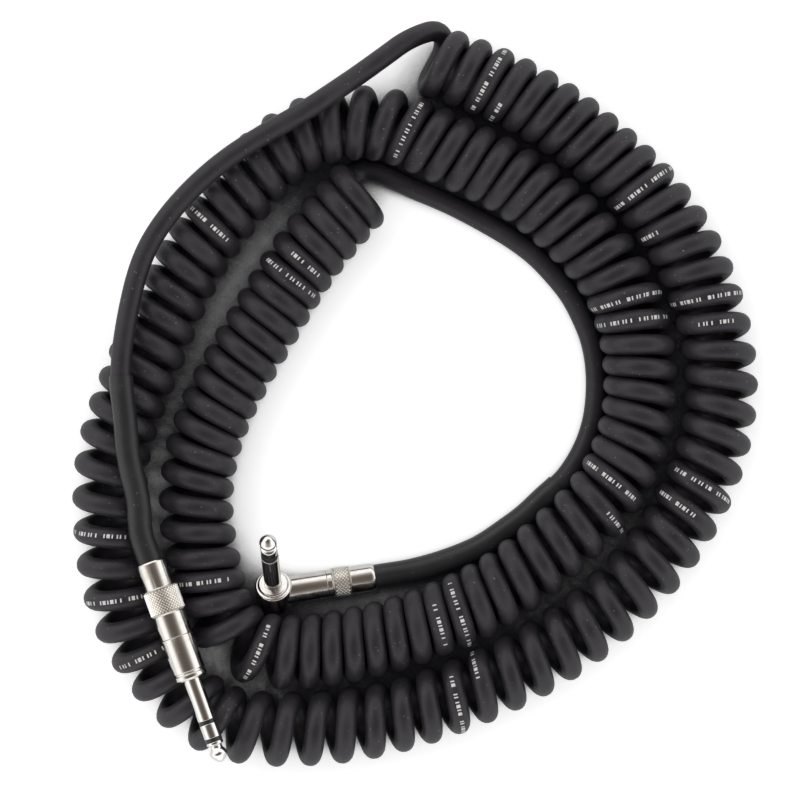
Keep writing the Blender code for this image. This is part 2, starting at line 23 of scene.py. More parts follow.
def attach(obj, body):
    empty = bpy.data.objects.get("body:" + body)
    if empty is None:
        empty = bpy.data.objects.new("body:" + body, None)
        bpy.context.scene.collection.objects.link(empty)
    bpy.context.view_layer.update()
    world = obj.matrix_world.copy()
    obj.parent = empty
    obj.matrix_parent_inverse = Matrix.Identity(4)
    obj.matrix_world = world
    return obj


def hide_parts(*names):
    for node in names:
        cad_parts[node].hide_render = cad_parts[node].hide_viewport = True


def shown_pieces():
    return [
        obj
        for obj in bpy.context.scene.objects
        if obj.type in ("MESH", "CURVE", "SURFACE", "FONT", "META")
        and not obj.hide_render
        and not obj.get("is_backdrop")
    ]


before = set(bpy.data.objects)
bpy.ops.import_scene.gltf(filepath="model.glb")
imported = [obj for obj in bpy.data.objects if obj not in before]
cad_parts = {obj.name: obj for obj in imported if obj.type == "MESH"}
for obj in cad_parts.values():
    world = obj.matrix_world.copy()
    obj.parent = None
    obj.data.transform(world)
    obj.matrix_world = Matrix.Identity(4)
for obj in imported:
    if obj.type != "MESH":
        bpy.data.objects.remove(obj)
LOG = logging.getLogger("instrument_cable")

MM = 0.001
MERGE = 1e-7
SHARP = radians(38)
Point = tuple[float, float, float]
Colour = tuple[float, float, float]
Profile = Sequence[tuple[float, float]]
Face = tuple[int, ...]
Shell = tuple[np.ndarray, list[Face]]


class Body(Enum):
    """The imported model's bodies that the new pieces ride on."""

    CABLE = "cable"
    STRAIGHT_SHELL = "straight_shell"
    ANGLED_NUT = "angled_nut"


class Slot(Enum):
    """The record's material slots, as the new pieces name them."""

    NICKEL = "nickel"
    BLACK = "black_insulator"
    RUBBER = "rubber"
    COPPER = "copper"
    WHITE = "white_insulation"
    SHRINK = "heat_shrink"


# ---------------------------------------------------------------- node trees


def arithmetic(operation: str, swapped: bool = False) -> Callable[[Value, Any], Value]:
    """A method of Value for one of Python's operators.

    Args:
        operation: The Math node's operation.
        swapped: Whether the other side comes first, as in an operator's reflected form.

    Returns:
        The method, which adds one Math node.
    """

    def method(self: Value, other: Any) -> Value:
        """One Math node on value and other."""
        first, second = (other, self) if swapped else (self, other)
        return self.graph.add("ShaderNodeMath", {"operation": operation}, {0: first, 1: second})

    return method


class Value:
    """What comes out of a node's socket. Arithmetic on it adds Math nodes."""

    __add__, __radd__ = arithmetic("ADD"), arithmetic("ADD", True)
    __sub__, __rsub__ = arithmetic("SUBTRACT"), arithmetic("SUBTRACT", True)
    __mul__, __rmul__ = arithmetic("MULTIPLY"), arithmetic("MULTIPLY", True)
    __truediv__, __rtruediv__ = arithmetic("DIVIDE"), arithmetic("DIVIDE", True)
    __mod__, __gt__ = arithmetic("MODULO"), arithmetic("GREATER_THAN")
    larger = arithmetic("MAXIMUM")

    def __init__(self, graph: Graph, socket: bpy.types.NodeSocket | None) -> None:
        """Wraps one output socket of a graph."""
        self.graph = graph
        self.socket = socket

    def math(self, operation: str) -> Value:
        """A Math node on this value alone."""
        return self.graph.add("ShaderNodeMath", {"operation": operation}, {0: self})

    def ramp(self, low: float, high: float) -> Value:
        """A smooth rise from 0 at low to 1 at high."""
        settings = {"interpolation_type": "SMOOTHSTEP", "clamp": True}
        return self.graph.add("ShaderNodeMapRange", settings, {0: self, 1: low, 2: high})


class Graph:
    """A node tree for a material, the world or Geometry Nodes."""

    def __init__(self, tree: bpy.types.NodeTree) -> None:
        """Takes the tree that nodes are added to."""
        self.tree = tree

    def add(
        self,
        kind: str,
        settings: dict[str, Any] | None = None,
        sockets: dict[int | str, Any] | None = None,
        out: int | str = 0,
    ) -> Value:
        """Adds a node.

        Args:
            kind: The node's type.
            settings: The node's own settings, set first. "stops" are a colour ramp's stops.
            sockets: What each input socket gets, by index or name: a plain value or another Value.
            out: The output socket to return.

        Returns:
            The chosen output, which is empty on a node that ends a tree.
        """
        node = self.tree.nodes.new(kind)
        for name, value in (settings or {}).items():
            if name == "stops":
                elements = node.color_ramp.elements
                for element, (place, colour) in zip(elements, value):
                    element.position, element.color = place, (*colour, 1)
                for place, colour in value[len(elements) :]:
                    elements.new(place).color = (*colour, 1)
            else:
                setattr(node, name, value)
        for key, value in (sockets or {}).items():
            self.feed(node.inputs[key], value)
        return Value(self, node.outputs[out] if node.outputs else None)

    def feed(self, socket: bpy.types.NodeSocket, value: Any) -> None:
        """Links a Value to an input socket, or sets the socket to a plain value."""
        if isinstance(value, Value):
            self.tree.links.new(value.socket, socket)
        elif isinstance(value, tuple) and socket.type == "RGBA":
            socket.default_value = (*value[:3], 1)
        else:
            socket.default_value = value

    def mix(self, share: Any, first: Any, second: Any) -> Value:
        """A colour between first and second."""
        settings = {"data_type": "RGBA", "clamp_factor": True}
        return self.add("ShaderNodeMix", settings, {0: share, 6: first, 7: second}, 2)

    def noise(self, place: Value, scale: float, detail: float = 2.0, rough: float = 0.5) -> Value:
        """Three-dimensional noise, 0.5 on average.

        Args:
            place: The coordinates to read.
            scale: Waves per metre.
            detail: How many finer layers are added.
            rough: How strong the finer layers are.

        Returns:
            The noise, from about 0 to 1.
        """
        sockets = {"Vector": place, "Scale": scale, "Detail": detail, "Roughness": rough}
        return self.add("ShaderNodeTexNoise", None, sockets)


class Shades(Graph):
    """A material's node tree round its Principled shader."""

    def __init__(self, name: str, place: Matrix | None = None) -> None:
        """Starts a material.

        Args:
            name: The material's name.
            place: The frame, in metres, whose coordinates the patterns read, or none for the model's.
        """
        self.material = bpy.data.materials.new(name)
        self.material.use_nodes = True
        super().__init__(self.material.node_tree)
        self.shader = self.tree.nodes["Principled BSDF"]
        self.at = self.add("ShaderNodeTexCoord", out="Object")
        if place is not None:
            sockets = {0: self.at, 1: place.to_translation(), 2: place.to_euler()}
            self.at = self.add("ShaderNodeMapping", {"vector_type": "TEXTURE"}, sockets)

    def set(self, **values: Any) -> None:
        """Feeds the shader's sockets, named with underscores for spaces."""
        for name, value in values.items():
            self.feed(self.shader.inputs[name.replace("_", " ")], value)

    def height(self, depth_mm: float, value: Value) -> Value:
        """A bump of a depth, whose result goes to Normal."""
        sockets = {"Strength": 1.0, "Distance": depth_mm * MM, "Height": value}
        return self.add("ShaderNodeBump", None, sockets)

    def along(self) -> Value:
        """How far a point lies along the frame's Z axis."""
        return self.add("ShaderNodeSeparateXYZ", None, {0: self.at}, "Z")


# ---------------------------------------------------------------- finishes


@dataclass(frozen=True)
class Rubber:
    """Matte rubber with a fine grain, a cloudy bloom and a few specks of dust."""

    colour: Colour
    bloom: Colour
    roughness: float = 0.5
    bloom_share: float = 0.6
    dust: float = 0.5

    def dress(self, name: str) -> bpy.types.Material:
        """The finish as a material."""
        shades = Shades(name)
        cloud = shades.noise(shades.at, 55, 4, 0.6).ramp(0.38, 0.72)
        smear = shades.noise(shades.at, 260, 3, 0.6).ramp(0.45, 0.75)
        grain = shades.noise(shades.at, 2600, 2, 0.6)
        speck = shades.noise(shades.at, 1500, 0, 0.5) > 0.83
        tint = shades.mix(cloud * self.bloom_share + smear * 0.25, self.colour, self.bloom)
        tint = shades.mix(speck * self.dust, tint, (0.32, 0.31, 0.30))
        bump = shades.height(0.035, grain + shades.noise(shades.at, 700, 2) * 0.6)
        shades.set(
            Base_Color=tint,
            Roughness=self.roughness + (cloud - 0.5) * 0.12 + (grain - 0.5) * 0.1,
            Normal=bump,
            Specular_IOR_Level=0.36,
        )
        return shades.material


@dataclass(frozen=True)
class Metal:
    """Turned metal: rings left by the lathe, rubbed patches, and fingerprints that dull the shine."""

    colour: Colour
    stain: Colour
    roughness: float = 0.16
    rings: float = 0.004
    wear: float = 1.0

    def dress(self, name: str, place: Matrix | None = None) -> bpy.types.Material:
        """The finish as a material.

        Args:
            name: The material's name.
            place: The frame whose Z axis the piece was turned on.

        Returns:
            The material.
        """
        shades = Shades(name, place)
        turning = shades.add(
            "ShaderNodeTexNoise",
            {"noise_dimensions": "1D"},
            {"W": shades.along(), "Scale": 9000.0, "Detail": 3.0, "Roughness": 0.7},
        )
        smudge = shades.noise(shades.at, 170, 4, 0.65).ramp(0.45, 0.75)
        rub = shades.noise(shades.at, 900, 3, 0.7).ramp(0.55, 0.8)
        pits = shades.noise(shades.at, 3200, 2, 0.6)
        tint = shades.mix((smudge * 0.6 + rub * 0.4) * self.wear, self.colour, self.stain)
        dull = self.roughness + (smudge * 0.12 + rub * 0.1) * self.wear + (turning - 0.5) * 0.08
        shades.set(
            Base_Color=tint,
            Metallic=1.0,
            Roughness=dull,
            Normal=shades.height(self.rings, turning + pits * 0.5 * self.wear),
        )
        return shades.material


@dataclass(frozen=True)
class Plastic:
    """Moulded or extruded plastic with faint flow marks."""

    colour: Colour
    shade: Colour
    roughness: float = 0.35
    alpha: float = 1.0

    def dress(self, name: str, place: Matrix | None = None) -> bpy.types.Material:
        """The finish as a material, whose marks follow the frame that place gives."""
        shades = Shades(name, place)
        flow = shades.noise(shades.at, 240, 4, 0.6).ramp(0.35, 0.7)
        grain = shades.noise(shades.at, 4000, 2)
        shades.set(
            Base_Color=shades.mix(flow, self.colour, self.shade),
            Roughness=self.roughness + flow * 0.15,
            Normal=shades.height(0.01, grain),
            Alpha=self.alpha,
        )
        return shades.material


@dataclass(frozen=True)
class Fibre:
    """Pressed paper board, with its fibres lying flat."""

    colour: Colour = (0.42, 0.25, 0.13)
    shade: Colour = (0.30, 0.16, 0.08)

    def dress(self, name: str, place: Matrix | None = None) -> bpy.types.Material:
        """The finish as a material, with its fibres across the frame's Z axis."""
        shades = Shades(name, place)
        squeezed = shades.add(
            "ShaderNodeMapping", {"vector_type": "POINT"}, {0: shades.at, 3: Vector((1, 0.25, 3))}
        )
        fibres = shades.noise(squeezed, 2200, 3, 0.7)
        shades.set(
            Base_Color=shades.mix(fibres.ramp(0.35, 0.65), self.colour, self.shade),
            Roughness=0.75 + fibres * 0.1,
            Normal=shades.height(0.02, fibres),
        )
        return shades.material


@dataclass(frozen=True)
class Ink:
    """White printing ink, rubbed thin in places."""

    colour: Colour = (0.62, 0.62, 0.60)
    worn: Colour = (0.22, 0.22, 0.22)

    def dress(self, name: str) -> bpy.types.Material:
        """The finish as a material."""
        shades = Shades(name)
        rub = shades.noise(shades.at, 900, 3, 0.7).ramp(0.5, 0.75)
        shades.set(
            Base_Color=shades.mix(rub, self.colour, self.worn),
            Roughness=0.55 + rub * 0.2,
            Normal=shades.height(0.01, rub),
        )
        return shades.material


JACKET = Rubber((0.0165, 0.0142, 0.0178), (0.0325, 0.029, 0.034))
SLEEVING = Rubber((0.018, 0.0175, 0.0195), (0.032, 0.030, 0.033), 0.42, 0.5, 0.3)
NICKEL = Metal((0.70, 0.68, 0.65), (0.58, 0.54, 0.50))
BRIGHT_NICKEL = Metal((0.74, 0.73, 0.71), (0.62, 0.60, 0.57), 0.1, 0.002, 0.6)
# A much lighter copy of the nickel for the knurl's diamonds: a painted highlight.
KNURL_NICKEL_PAINTED_HIGHLIGHT = Metal((0.97, 0.95, 0.91), (0.86, 0.82, 0.75), 0.34)
# A darker copy of the nickel for the bed between the knurl's diamonds: painted shade in its grooves.
KNURL_BED_PAINTED_SHADE = Metal((0.42, 0.39, 0.35), (0.28, 0.25, 0.22), 0.42)
BRASS = Metal((0.72, 0.54, 0.27), (0.50, 0.34, 0.15), 0.26)
TINNED = Metal((0.60, 0.59, 0.57), (0.46, 0.45, 0.43), 0.36)
COPPER = Metal((0.78, 0.44, 0.29), (0.50, 0.24, 0.14), 0.28)
INSULATOR = Plastic((0.012, 0.012, 0.013), (0.024, 0.024, 0.025), 0.3)
WHITE_WIRE = Plastic((0.78, 0.77, 0.73), (0.66, 0.64, 0.60), 0.4)
CLEAR_LINER = Plastic((0.78, 0.78, 0.74), (0.70, 0.69, 0.64), 0.25, 0.55)


# ---------------------------------------------------------------- meshes


def new_object(name: str, data: bpy.types.ID, place: Point = (0.0, 0.0, 0.0)) -> bpy.types.Object:
    """A new object in the scene."""
    obj = bpy.data.objects.new(name, data)
    obj.location = place
    bpy.context.scene.collection.objects.link(obj)
    return obj


def mesh_with_modifiers(obj: bpy.types.Object) -> bpy.types.Mesh:
    """A plain mesh of what an object's modifiers make. The modifiers then go."""
    bpy.context.view_layer.update()
    graph = bpy.context.evaluated_depsgraph_get()
    mesh = bpy.data.meshes.new_from_object(obj.evaluated_get(graph))
    obj.modifiers.clear()
    return mesh


def made_piece(
    name: str,
    points: np.ndarray,
    faces: Iterable[Sequence[int]],
    material: bpy.types.Material,
    sharp: float = SHARP,
    mend: bool = True,
) -> bpy.types.Object:
    """A finished mesh, with its object at the origin.

    Args:
        name: The piece's name.
        points: The mesh's points in the model's frame, in millimetres.
        faces: The mesh's faces.
        material: What it is dressed in.
        sharp: Edges that turn by more than this stay crisp, and none where it is 0.
        mend: Merges points that lie on each other and turns every face outwards.

    Returns:
        The object.
    """
    mesh = bpy.data.meshes.new(name)
    mesh.from_pydata((np.asarray(points) * MM).tolist(), [], list(faces))
    if mend:
        work = bmesh.new()
        work.from_mesh(mesh)
        bmesh.ops.remove_doubles(work, verts=work.verts, dist=MERGE)
        bmesh.ops.recalc_face_normals(work, faces=work.faces)
        work.to_mesh(mesh)
        work.free()
    mesh.shade_smooth()
    if sharp:
        mesh.set_sharp_from_angle(angle=sharp)
    mesh.materials.append(material)
    return new_object(name, mesh)


def settle(obj: bpy.types.Object, body: Body, slot: Slot | None = None, nodes: Sequence[str] = ()) -> None:
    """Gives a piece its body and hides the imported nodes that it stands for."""
    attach(obj, body.value)
    if nodes:
        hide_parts(*nodes)
    LOG.info("%s rides on %s, %d faces", obj.name, body.value, len(obj.data.polygons))


def eased(profile: Profile, radius: float, closed: bool, steps: int = 3) -> list[tuple[float, float]]:
    """The profile with its corners rounded.

    Args:
        profile: Corners as (radius, height).
        radius: How far from a corner its rounding starts, at most.
        closed: Whether the last corner joins the first.
        steps: How many straight pieces make each rounding.

    Returns:
        The profile's new points.
    """
    corners = [Vector(corner) for corner in profile]
    count = len(corners)
    made = []
    for i, corner in enumerate(corners):
        if not closed and i in (0, count - 1):
            made.append(tuple(corner))
            continue
        before, after = corners[i - 1] - corner, corners[(i + 1) % count] - corner
        cut_in = min(radius, 0.42 * before.length)
        cut_out = min(radius, 0.42 * after.length)
        first = corner + before.normalized() * cut_in
        last = corner + after.normalized() * cut_out
        for k in range(steps + 1):
            t = k / steps
            point = first * (1 - t) ** 2 + corner * 2 * t * (1 - t) + last * t**2
            made.append(tuple(point))
    return made


def set_in(points: Any, place: Matrix) -> np.ndarray:
    """A frame's points as places in the model's frame."""
    return np.array(points) @ np.array(place.to_3x3()).T + np.array(place.to_translation())


def unit(vectors: np.ndarray) -> np.ndarray:
    """The vectors with a length of 1."""
    return vectors / np.linalg.norm(vectors, axis=-1, keepdims=True)


def lengths(line: np.ndarray) -> np.ndarray:
    """How far along a line each of its points lies."""
    return np.concatenate(([0], np.cumsum(np.linalg.norm(np.diff(line, axis=0), axis=1))))


def merged(shells: Iterable[Shell]) -> Shell:
    """Several meshes' points and faces as those of one mesh."""
    all_points, all_faces, first = [], [], 0
    for points, faces in shells:
        all_points.append(points)
        all_faces += [tuple(first + k for k in face) for face in faces]
        first += len(points)
    return np.concatenate(all_points), all_faces


def lathe(profile: Profile, sides: int, place: Matrix) -> Shell:
    """A solid of revolution round its frame's Z axis.

    Args:
        profile: (radius, height) down the outer side. One that starts and ends at radius 0 is solid,
            and any other closes on itself.
        sides: Faces round the axis.
        place: The frame.

    Returns:
        Points in the model's frame and faces.
    """
    angles = np.arange(sides) * 2 * pi / sides
    points: list[Point] = []
    rings = []
    for radius, height in profile:
        first = len(points)
        if radius < 1e-6:
            points.append((0.0, 0.0, height))
            rings.append([first] * sides)
        else:
            points += [(radius * cos(a), radius * sin(a), height) for a in angles]
            rings.append([first + k for k in range(sides)])
    if profile[0][0] > 0:
        rings.append(rings[0])
    faces = []
    for upper, lower in zip(rings, rings[1:]):
        for k in range(sides):
            j = (k + 1) % sides
            face = tuple(dict.fromkeys((upper[k], lower[k], lower[j], upper[j])))
            if len(face) > 2:
                faces.append(face)
    return set_in(points, place), faces


def frames_along(line: np.ndarray) -> tuple[np.ndarray, np.ndarray]:
    """Two directions across a line at each of its points, square to each other, which never twist."""
    run = unit(np.gradient(line, axis=0))
    across = np.empty_like(line)
    guess = np.cross(run[0], (0.0, 0.0, 1.0))
    if np.linalg.norm(guess) < 1e-3:
        guess = np.array((1.0, 0.0, 0.0))
    for i, heading in enumerate(run):
        guess = unit(guess - (guess @ heading) * heading)
        across[i] = guess
    return across, np.cross(run, across)


def rings_round(line: np.ndarray, radii: np.ndarray, sides: int) -> np.ndarray:
    """Rings of points round a line, one after another."""
    across, over = frames_along(line)
    angles = np.arange(sides) * 2 * pi / sides
    spokes = np.cos(angles)[None, :, None] * across[:, None] + np.sin(angles)[None, :, None] * over[:, None]
    return (line[:, None] + radii[:, None, None] * spokes).reshape(-1, 3)


def skin(rows: int, sides: int, first: int = 0, inward: bool = False) -> list[Face]:
    """The faces between rings of points, seen from outside unless they face inward."""
    faces = []
    for row in range(rows - 1):
        a, b = first + row * sides, first + (row + 1) * sides
        for k in range(sides):
            j = (k + 1) % sides
            face = (a + k, a + j, b + j, b + k)
            faces.append(face[::-1] if inward else face)
    return faces


def rod(line: np.ndarray, radii: np.ndarray, sides: int) -> Shell:
    """A round rod along a line, closed at both ends."""
    points = rings_round(line, radii, sides)
    last = len(points) - sides
    faces = skin(len(line), sides)
    faces += [tuple(range(sides))[::-1], tuple(last + k for k in range(sides))]
    return points, faces


def hose(line: np.ndarray, radii: np.ndarray, bore: float, sides: int) -> Shell:
    """A hose along a line, with its bore open at both ends."""
    outer = rings_round(line, radii, sides)
    inner = rings_round(line, np.full(len(line), bore), sides)
    first = len(outer)
    last = first - sides
    faces = skin(len(line), sides) + skin(len(line), sides, first, inward=True)
    for k in range(sides):
        j = (k + 1) % sides
        faces.append((k, first + k, first + j, j))
        faces.append((last + k, last + j, first + last + j, first + last + k))
    return np.concatenate((outer, inner)), faces


def evened(values: np.ndarray, width: int) -> np.ndarray:
    """The values' running mean over an odd number of them, with both ends carried on straight."""
    half = width // 2
    steps = np.arange(1, half + 1)
    before = values[0] - (values[1] - values[0]) * steps[::-1]
    after = values[-1] + (values[-1] - values[-2]) * steps
    return np.convolve(np.concatenate((before, values, after)), np.full(width, 1 / width), "valid")


def spline_through(points: Any, start: Any = None, end: Any = None) -> tuple[np.ndarray, Any]:
    """A smooth curve through points.

    Args:
        points: The points.
        start: The way the curve leaves its first point, or none for an unbent start.
        end: The way the curve reaches its last point, or none for an unbent end.

    Returns:
        The points' parameters, and a function from parameters to places on the curve.
    """
    points = np.array(points, float)
    knots = lengths(points)
    steps = np.linalg.norm(np.diff(points, axis=0), axis=1)
    count = len(points)
    system = np.zeros((count, count))
    right = np.zeros((count, points.shape[1]))
    slopes = np.diff(points, axis=0) / steps[:, None]
    for i in range(1, count - 1):
        system[i, i - 1 : i + 2] = steps[i - 1], 2 * (steps[i - 1] + steps[i]), steps[i]
        right[i] = 6 * (slopes[i] - slopes[i - 1])
    system[0, 0] = system[-1, -1] = 1
    if start is not None:
        system[0, :2] = 2 * steps[0], steps[0]
        right[0] = 6 * (slopes[0] - np.array(start))
    if end is not None:
        system[-1, -2:] = steps[-1], 2 * steps[-1]
        right[-1] = 6 * (np.array(end) - slopes[-1])
    bends = np.linalg.solve(system, right)

    def at(where: Any) -> np.ndarray:
        """The curve's places at these parameters."""
        where = np.atleast_1d(where)
        i = np.clip(np.searchsorted(knots, where, side="right") - 1, 0, count - 2)
        step = steps[i][:, None]
        before, after = (knots[i + 1] - where)[:, None], (where - knots[i])[:, None]
        cubic = (bends[i] * before**3 + bends[i + 1] * after**3) / (6 * step)
        first = (points[i] / step - bends[i] * step / 6) * before
        return cubic + first + (points[i + 1] / step - bends[i + 1] * step / 6) * after

    return knots, at


# ---------------------------------------------------------------- what repeats


class Pattern(Graph):
    """A Geometry Nodes tree with named inputs, whose result becomes a plain mesh."""

    SOCKETS = {int: "NodeSocketInt", float: "NodeSocketFloat"}

    def __init__(self, name: str, sizes: dict[str, int | float], finish: bpy.types.Material) -> None:
        """Starts a tree.

        Args:
            name: The piece's name.
            sizes: The tree's named inputs, in millimetres, radians or counts.
            finish: What the result is dressed in.
        """
        super().__init__(bpy.data.node_groups.new(name, "GeometryNodeTree"))
        self.name, self.sizes, self.finish = name, sizes, finish
        for size, value in sizes.items():
            self.tree.interface.new_socket(size, in_out="INPUT", socket_type=self.SOCKETS[type(value)])
        self.tree.interface.new_socket("Geometry", in_out="OUTPUT", socket_type="NodeSocketGeometry")
        self.given = self.tree.nodes.new("NodeGroupInput")

    def size(self, name: str) -> Value:
        """One of the tree's named inputs."""
        return Value(self, self.given.outputs[name])

    def grown(self, result: Value, place: Matrix) -> bpy.types.Object:
        """Ends the tree, runs it and returns its mesh, placed in the model's frame.

        Args:
            result: The geometry that the tree makes.
            place: The frame that it is made in.

        Returns:
            A plain mesh object at the origin.
        """
        real = self.add("GeometryNodeRealizeInstances", None, {0: result})
        dressed = self.add("GeometryNodeSetMaterial", None, {"Geometry": real, "Material": self.finish})
        self.add("NodeGroupOutput", None, {0: dressed})
        seed = new_object(self.name + "_seed", bpy.data.meshes.new(self.name + "_seed"))
        modifier = seed.modifiers.new(self.name, "NODES")
        modifier.node_group = self.tree
        for item in self.tree.interface.items_tree:
            if item.in_out == "INPUT":
                modifier[item.identifier] = self.sizes[item.name]
        mesh = mesh_with_modifiers(seed)
        bpy.data.objects.remove(seed, do_unlink=True)
        mesh.transform(in_metres(place) @ Matrix.Scale(MM, 4))
        mesh.name = self.name
        return new_object(self.name, mesh)


@dataclass
class Knurl:
    """A band of raised diamonds, as a knurling tool rolls them."""

    name: str
    radius: float
    top: float
    rows: int
    columns: int
    row_pitch: float
    height: float = 0.45
    crown: float = 0.3
    fill: float = 0.82

    def grow(self, finish: bpy.types.Material, place: Matrix) -> bpy.types.Object:
        """Rolls the band.

        Args:
            finish: What it is dressed in.
            place: The frame whose Z axis it goes round.

        Returns:
            The band of diamonds.
        """
        sizes = {
            "Radius": self.radius,
            "Top": self.top,
            "Rows": self.rows,
            "Columns": self.columns,
            "Row pitch": self.row_pitch,
            "Height": self.height,
            "Crown": self.crown,
        }
        tree = Pattern(self.name, sizes, finish)
        count = tree.size("Rows") * tree.size("Columns")
        index = tree.add("GeometryNodeInputIndex")
        row = (index / tree.size("Columns")).math("FLOOR")
        column = index - row * tree.size("Columns")
        stagger = row % 2.0 * 0.5
        angle = (column + stagger) * (2 * pi) / tree.size("Columns")
        height = tree.size("Top") - row * tree.size("Row pitch")
        x = tree.size("Radius") * angle.math("COSINE")
        y = tree.size("Radius") * angle.math("SINE")
        spot = tree.add("ShaderNodeCombineXYZ", None, {0: x, 1: y, 2: height})
        points = tree.add("GeometryNodePoints", None, {"Count": count, "Position": spot, "Radius": 0.1})
        cone = tree.add(
            "GeometryNodeMeshCone",
            {"fill_type": "NGON"},
            {
                "Vertices": 4,
                "Radius Top": tree.size("Crown"),
                "Radius Bottom": 1.0,
                "Depth": tree.size("Height"),
            },
        )
        turn = tree.add("ShaderNodeCombineXYZ", None, {0: 0.0, 1: pi / 2, 2: angle})
        across = tree.size("Radius") * (pi * self.fill) / tree.size("Columns")
        along = tree.size("Row pitch") * self.fill
        stretch = tree.add("ShaderNodeCombineXYZ", None, {0: along, 1: across, 2: 1.0})
        copies = tree.add(
            "GeometryNodeInstanceOnPoints",
            None,
            {"Points": points, "Instance": cone, "Rotation": turn, "Scale": stretch},
        )
        return tree.grown(copies, place)


@dataclass
class Helix:
    """Strands wound side by side round a frame's Z axis: a thread, or one layer of a braid."""

    name: str
    radius: float
    top: float
    bottom: float
    pitch: float
    strand: float
    strands: int = 1
    left: bool = False
    steps: int = 40
    edges: int = 6

    def grow(self, finish: bpy.types.Material, place: Matrix) -> bpy.types.Object:
        """Winds the strands.

        Args:
            finish: What they are dressed in.
            place: The frame whose Z axis they go round.

        Returns:
            The strands.
        """
        length = self.top - self.bottom
        sizes = {
            "Radius": self.radius,
            "Bottom": self.bottom,
            "Length": length,
            "Turns": length / self.pitch,
            "Strand": self.strand,
            "Strands": self.strands,
            "Edges": self.edges,
        }
        tree = Pattern(self.name, sizes, finish)
        spiral = tree.add(
            "GeometryNodeCurveSpiral",
            None,
            {
                "Resolution": self.steps,
                "Rotations": tree.size("Turns"),
                "Start Radius": tree.size("Radius"),
                "End Radius": tree.size("Radius"),
                "Height": tree.size("Length"),
                "Reverse": self.left,
            },
        )
        ring = tree.add(
            "GeometryNodeCurvePrimitiveCircle",
            {"mode": "RADIUS"},
            {"Resolution": tree.size("Edges"), "Radius": tree.size("Strand")},
        )
        wire = tree.add(
            "GeometryNodeCurveToMesh", None, {"Curve": spiral, "Profile Curve": ring, "Fill Caps": True}
        )
        index = tree.add("GeometryNodeInputIndex")
        angle = index * (2 * pi) / tree.size("Strands")
        spot = tree.add("ShaderNodeCombineXYZ", None, {0: 0.0, 1: 0.0, 2: tree.size("Bottom")})
        points = tree.add(
            "GeometryNodePoints", None, {"Count": tree.size("Strands"), "Position": spot, "Radius": 0.1}
        )
        turn = tree.add("ShaderNodeCombineXYZ", None, {0: 0.0, 1: 0.0, 2: angle})
        copies = tree.add(
            "GeometryNodeInstanceOnPoints",
            None,
            {"Points": points, "Instance": wire, "Rotation": turn},
        )
        return tree.grown(copies, place)


# ---------------------------------------------------------------- frames


def frame_of(origin: Point, up: Vector, across: Vector) -> Matrix:
    """The frame at an origin whose Z runs along up and whose X is the part of across square to it."""
    z = up.normalized()
    x = (across - across.dot(z) * z).normalized()
    place = Matrix((x, z.cross(x), z)).transposed().to_4x4()
    place.translation = Vector(origin)
    return place


def heading_of(azimuth: float, rise: float) -> Vector:
    """The direction at an azimuth from +X and a rise over the floor."""
    return Vector((cos(azimuth) * cos(rise), sin(azimuth) * cos(rise), sin(rise)))


def in_metres(place: Matrix) -> Matrix:
    """The frame with its origin in metres."""
    made = place.copy()
    made.translation = place.to_translation() * MM
    return made


# ---------------------------------------------------------------- the cord

# The coil's axis, once round outside and once inside, as in the solid: x, y, and how many curls of
# the real cord lie before that place
COIL_ROUTE = (
    (59.2, 214.6, -0.23), (67.9, 211.7, 0.62), (98.9, 198.6, 4.63), (126.2, 179.1, 8.61),
    (149.9, 154.2, 12.53), (163.8, 125.3, 15.85), (169.0, 95.0, 18.86), (163.9, 65.2, 21.91),
    (151.0, 39.5, 24.68), (128.7, 13.7, 27.68), (101.4, -5.8, 30.70), (71.5, -19.5, 33.73),
    (43.3, -28.1, 36.65), (11.6, -31.4, 39.52), (-15.3, -27.5, 41.73), (-34.6, -11.2, 43.86),
    (-48.9, 13.3, 46.38), (-54.2, 41.8, 48.91), (-52.9, 70.9, 51.43), (-42.5, 101.5, 54.73),
    (-27.3, 136.3, 58.58), (-6.7, 165.8, 62.49), (18.8, 186.7, 65.91), (45.7, 189.9, 68.59),
    (70.2, 180.5, 71.71), (93.1, 169.3, 74.81), (113.2, 153.8, 77.86), (130.8, 133.0, 80.89),
    (138.9, 107.4, 83.88), (138.9, 83.6, 86.70), (129.3, 58.3, 89.81), (111.0, 37.8, 92.54),
    (86.9, 19.2, 95.79), (59.0, 6.3, 99.59), (33.4, -0.6, 102.85), (17.3, -2.9, 104.91),
    (4.4, -2.9, 106.33), (-7.2, 1.5, 107.28), (-15.2, 12.2, 108.41), (-19.6, 26.8, 110.21),
    (-22.6, 43.9, 112.00), (-21.3, 67.5, 114.51), (-12.8, 91.3, 117.59), (1.1, 115.8, 121.10),
    (16.5, 140.5, 124.78), (31.7, 159.0, 127.87), (38.7, 166.6, 129.23), (45.4, 173.6, 130.46),
)
# Where each straight run meets the coil's bend, which way it runs there, the points that the bend goes
# through, and how many of the coil's own points it takes the place of
START_CUT = (47.5, 215.3, 18.6)
START_RUN = (0.775, 0.590, -0.226)
START_BEND = (
    (51.7, 218.5, 17.6), (55.9, 221.1, 16.2), (60.8, 223.4, 13.9), (65.3, 224.3, 10.4),
    (67.8, 221.6, 6.2), (66.9, 216.4, 4.0),
)
START_SKIP = 10
END_CUT = (47.5, 171.5, 3.85)
END_RUN = (0.90, -0.436, 0.0)
END_BEND = ((32.6, 171.9, 6.6), (37.6, 173.9, 3.95), (42.6, 173.5, 3.85))
END_SKIP = 3
STRAIGHT_LEAD_ROUTE = (
    (-42.3, 49.5, 28.4), (-45.6, 67.5, 30.7), (-47.2, 83.8, 31.7), (-48.6, 97.5, 31.3),
    (-47.7, 111.4, 30.0), (-45.4, 125.0, 28.4), (-40.6, 141.6, 26.9), (-28.3, 160.1, 27.2),
    (-9.8, 176.7, 28.8), (3.9, 185.4, 29.7), (17.7, 193.4, 30.0), (27.4, 200.0, 27.8),
)
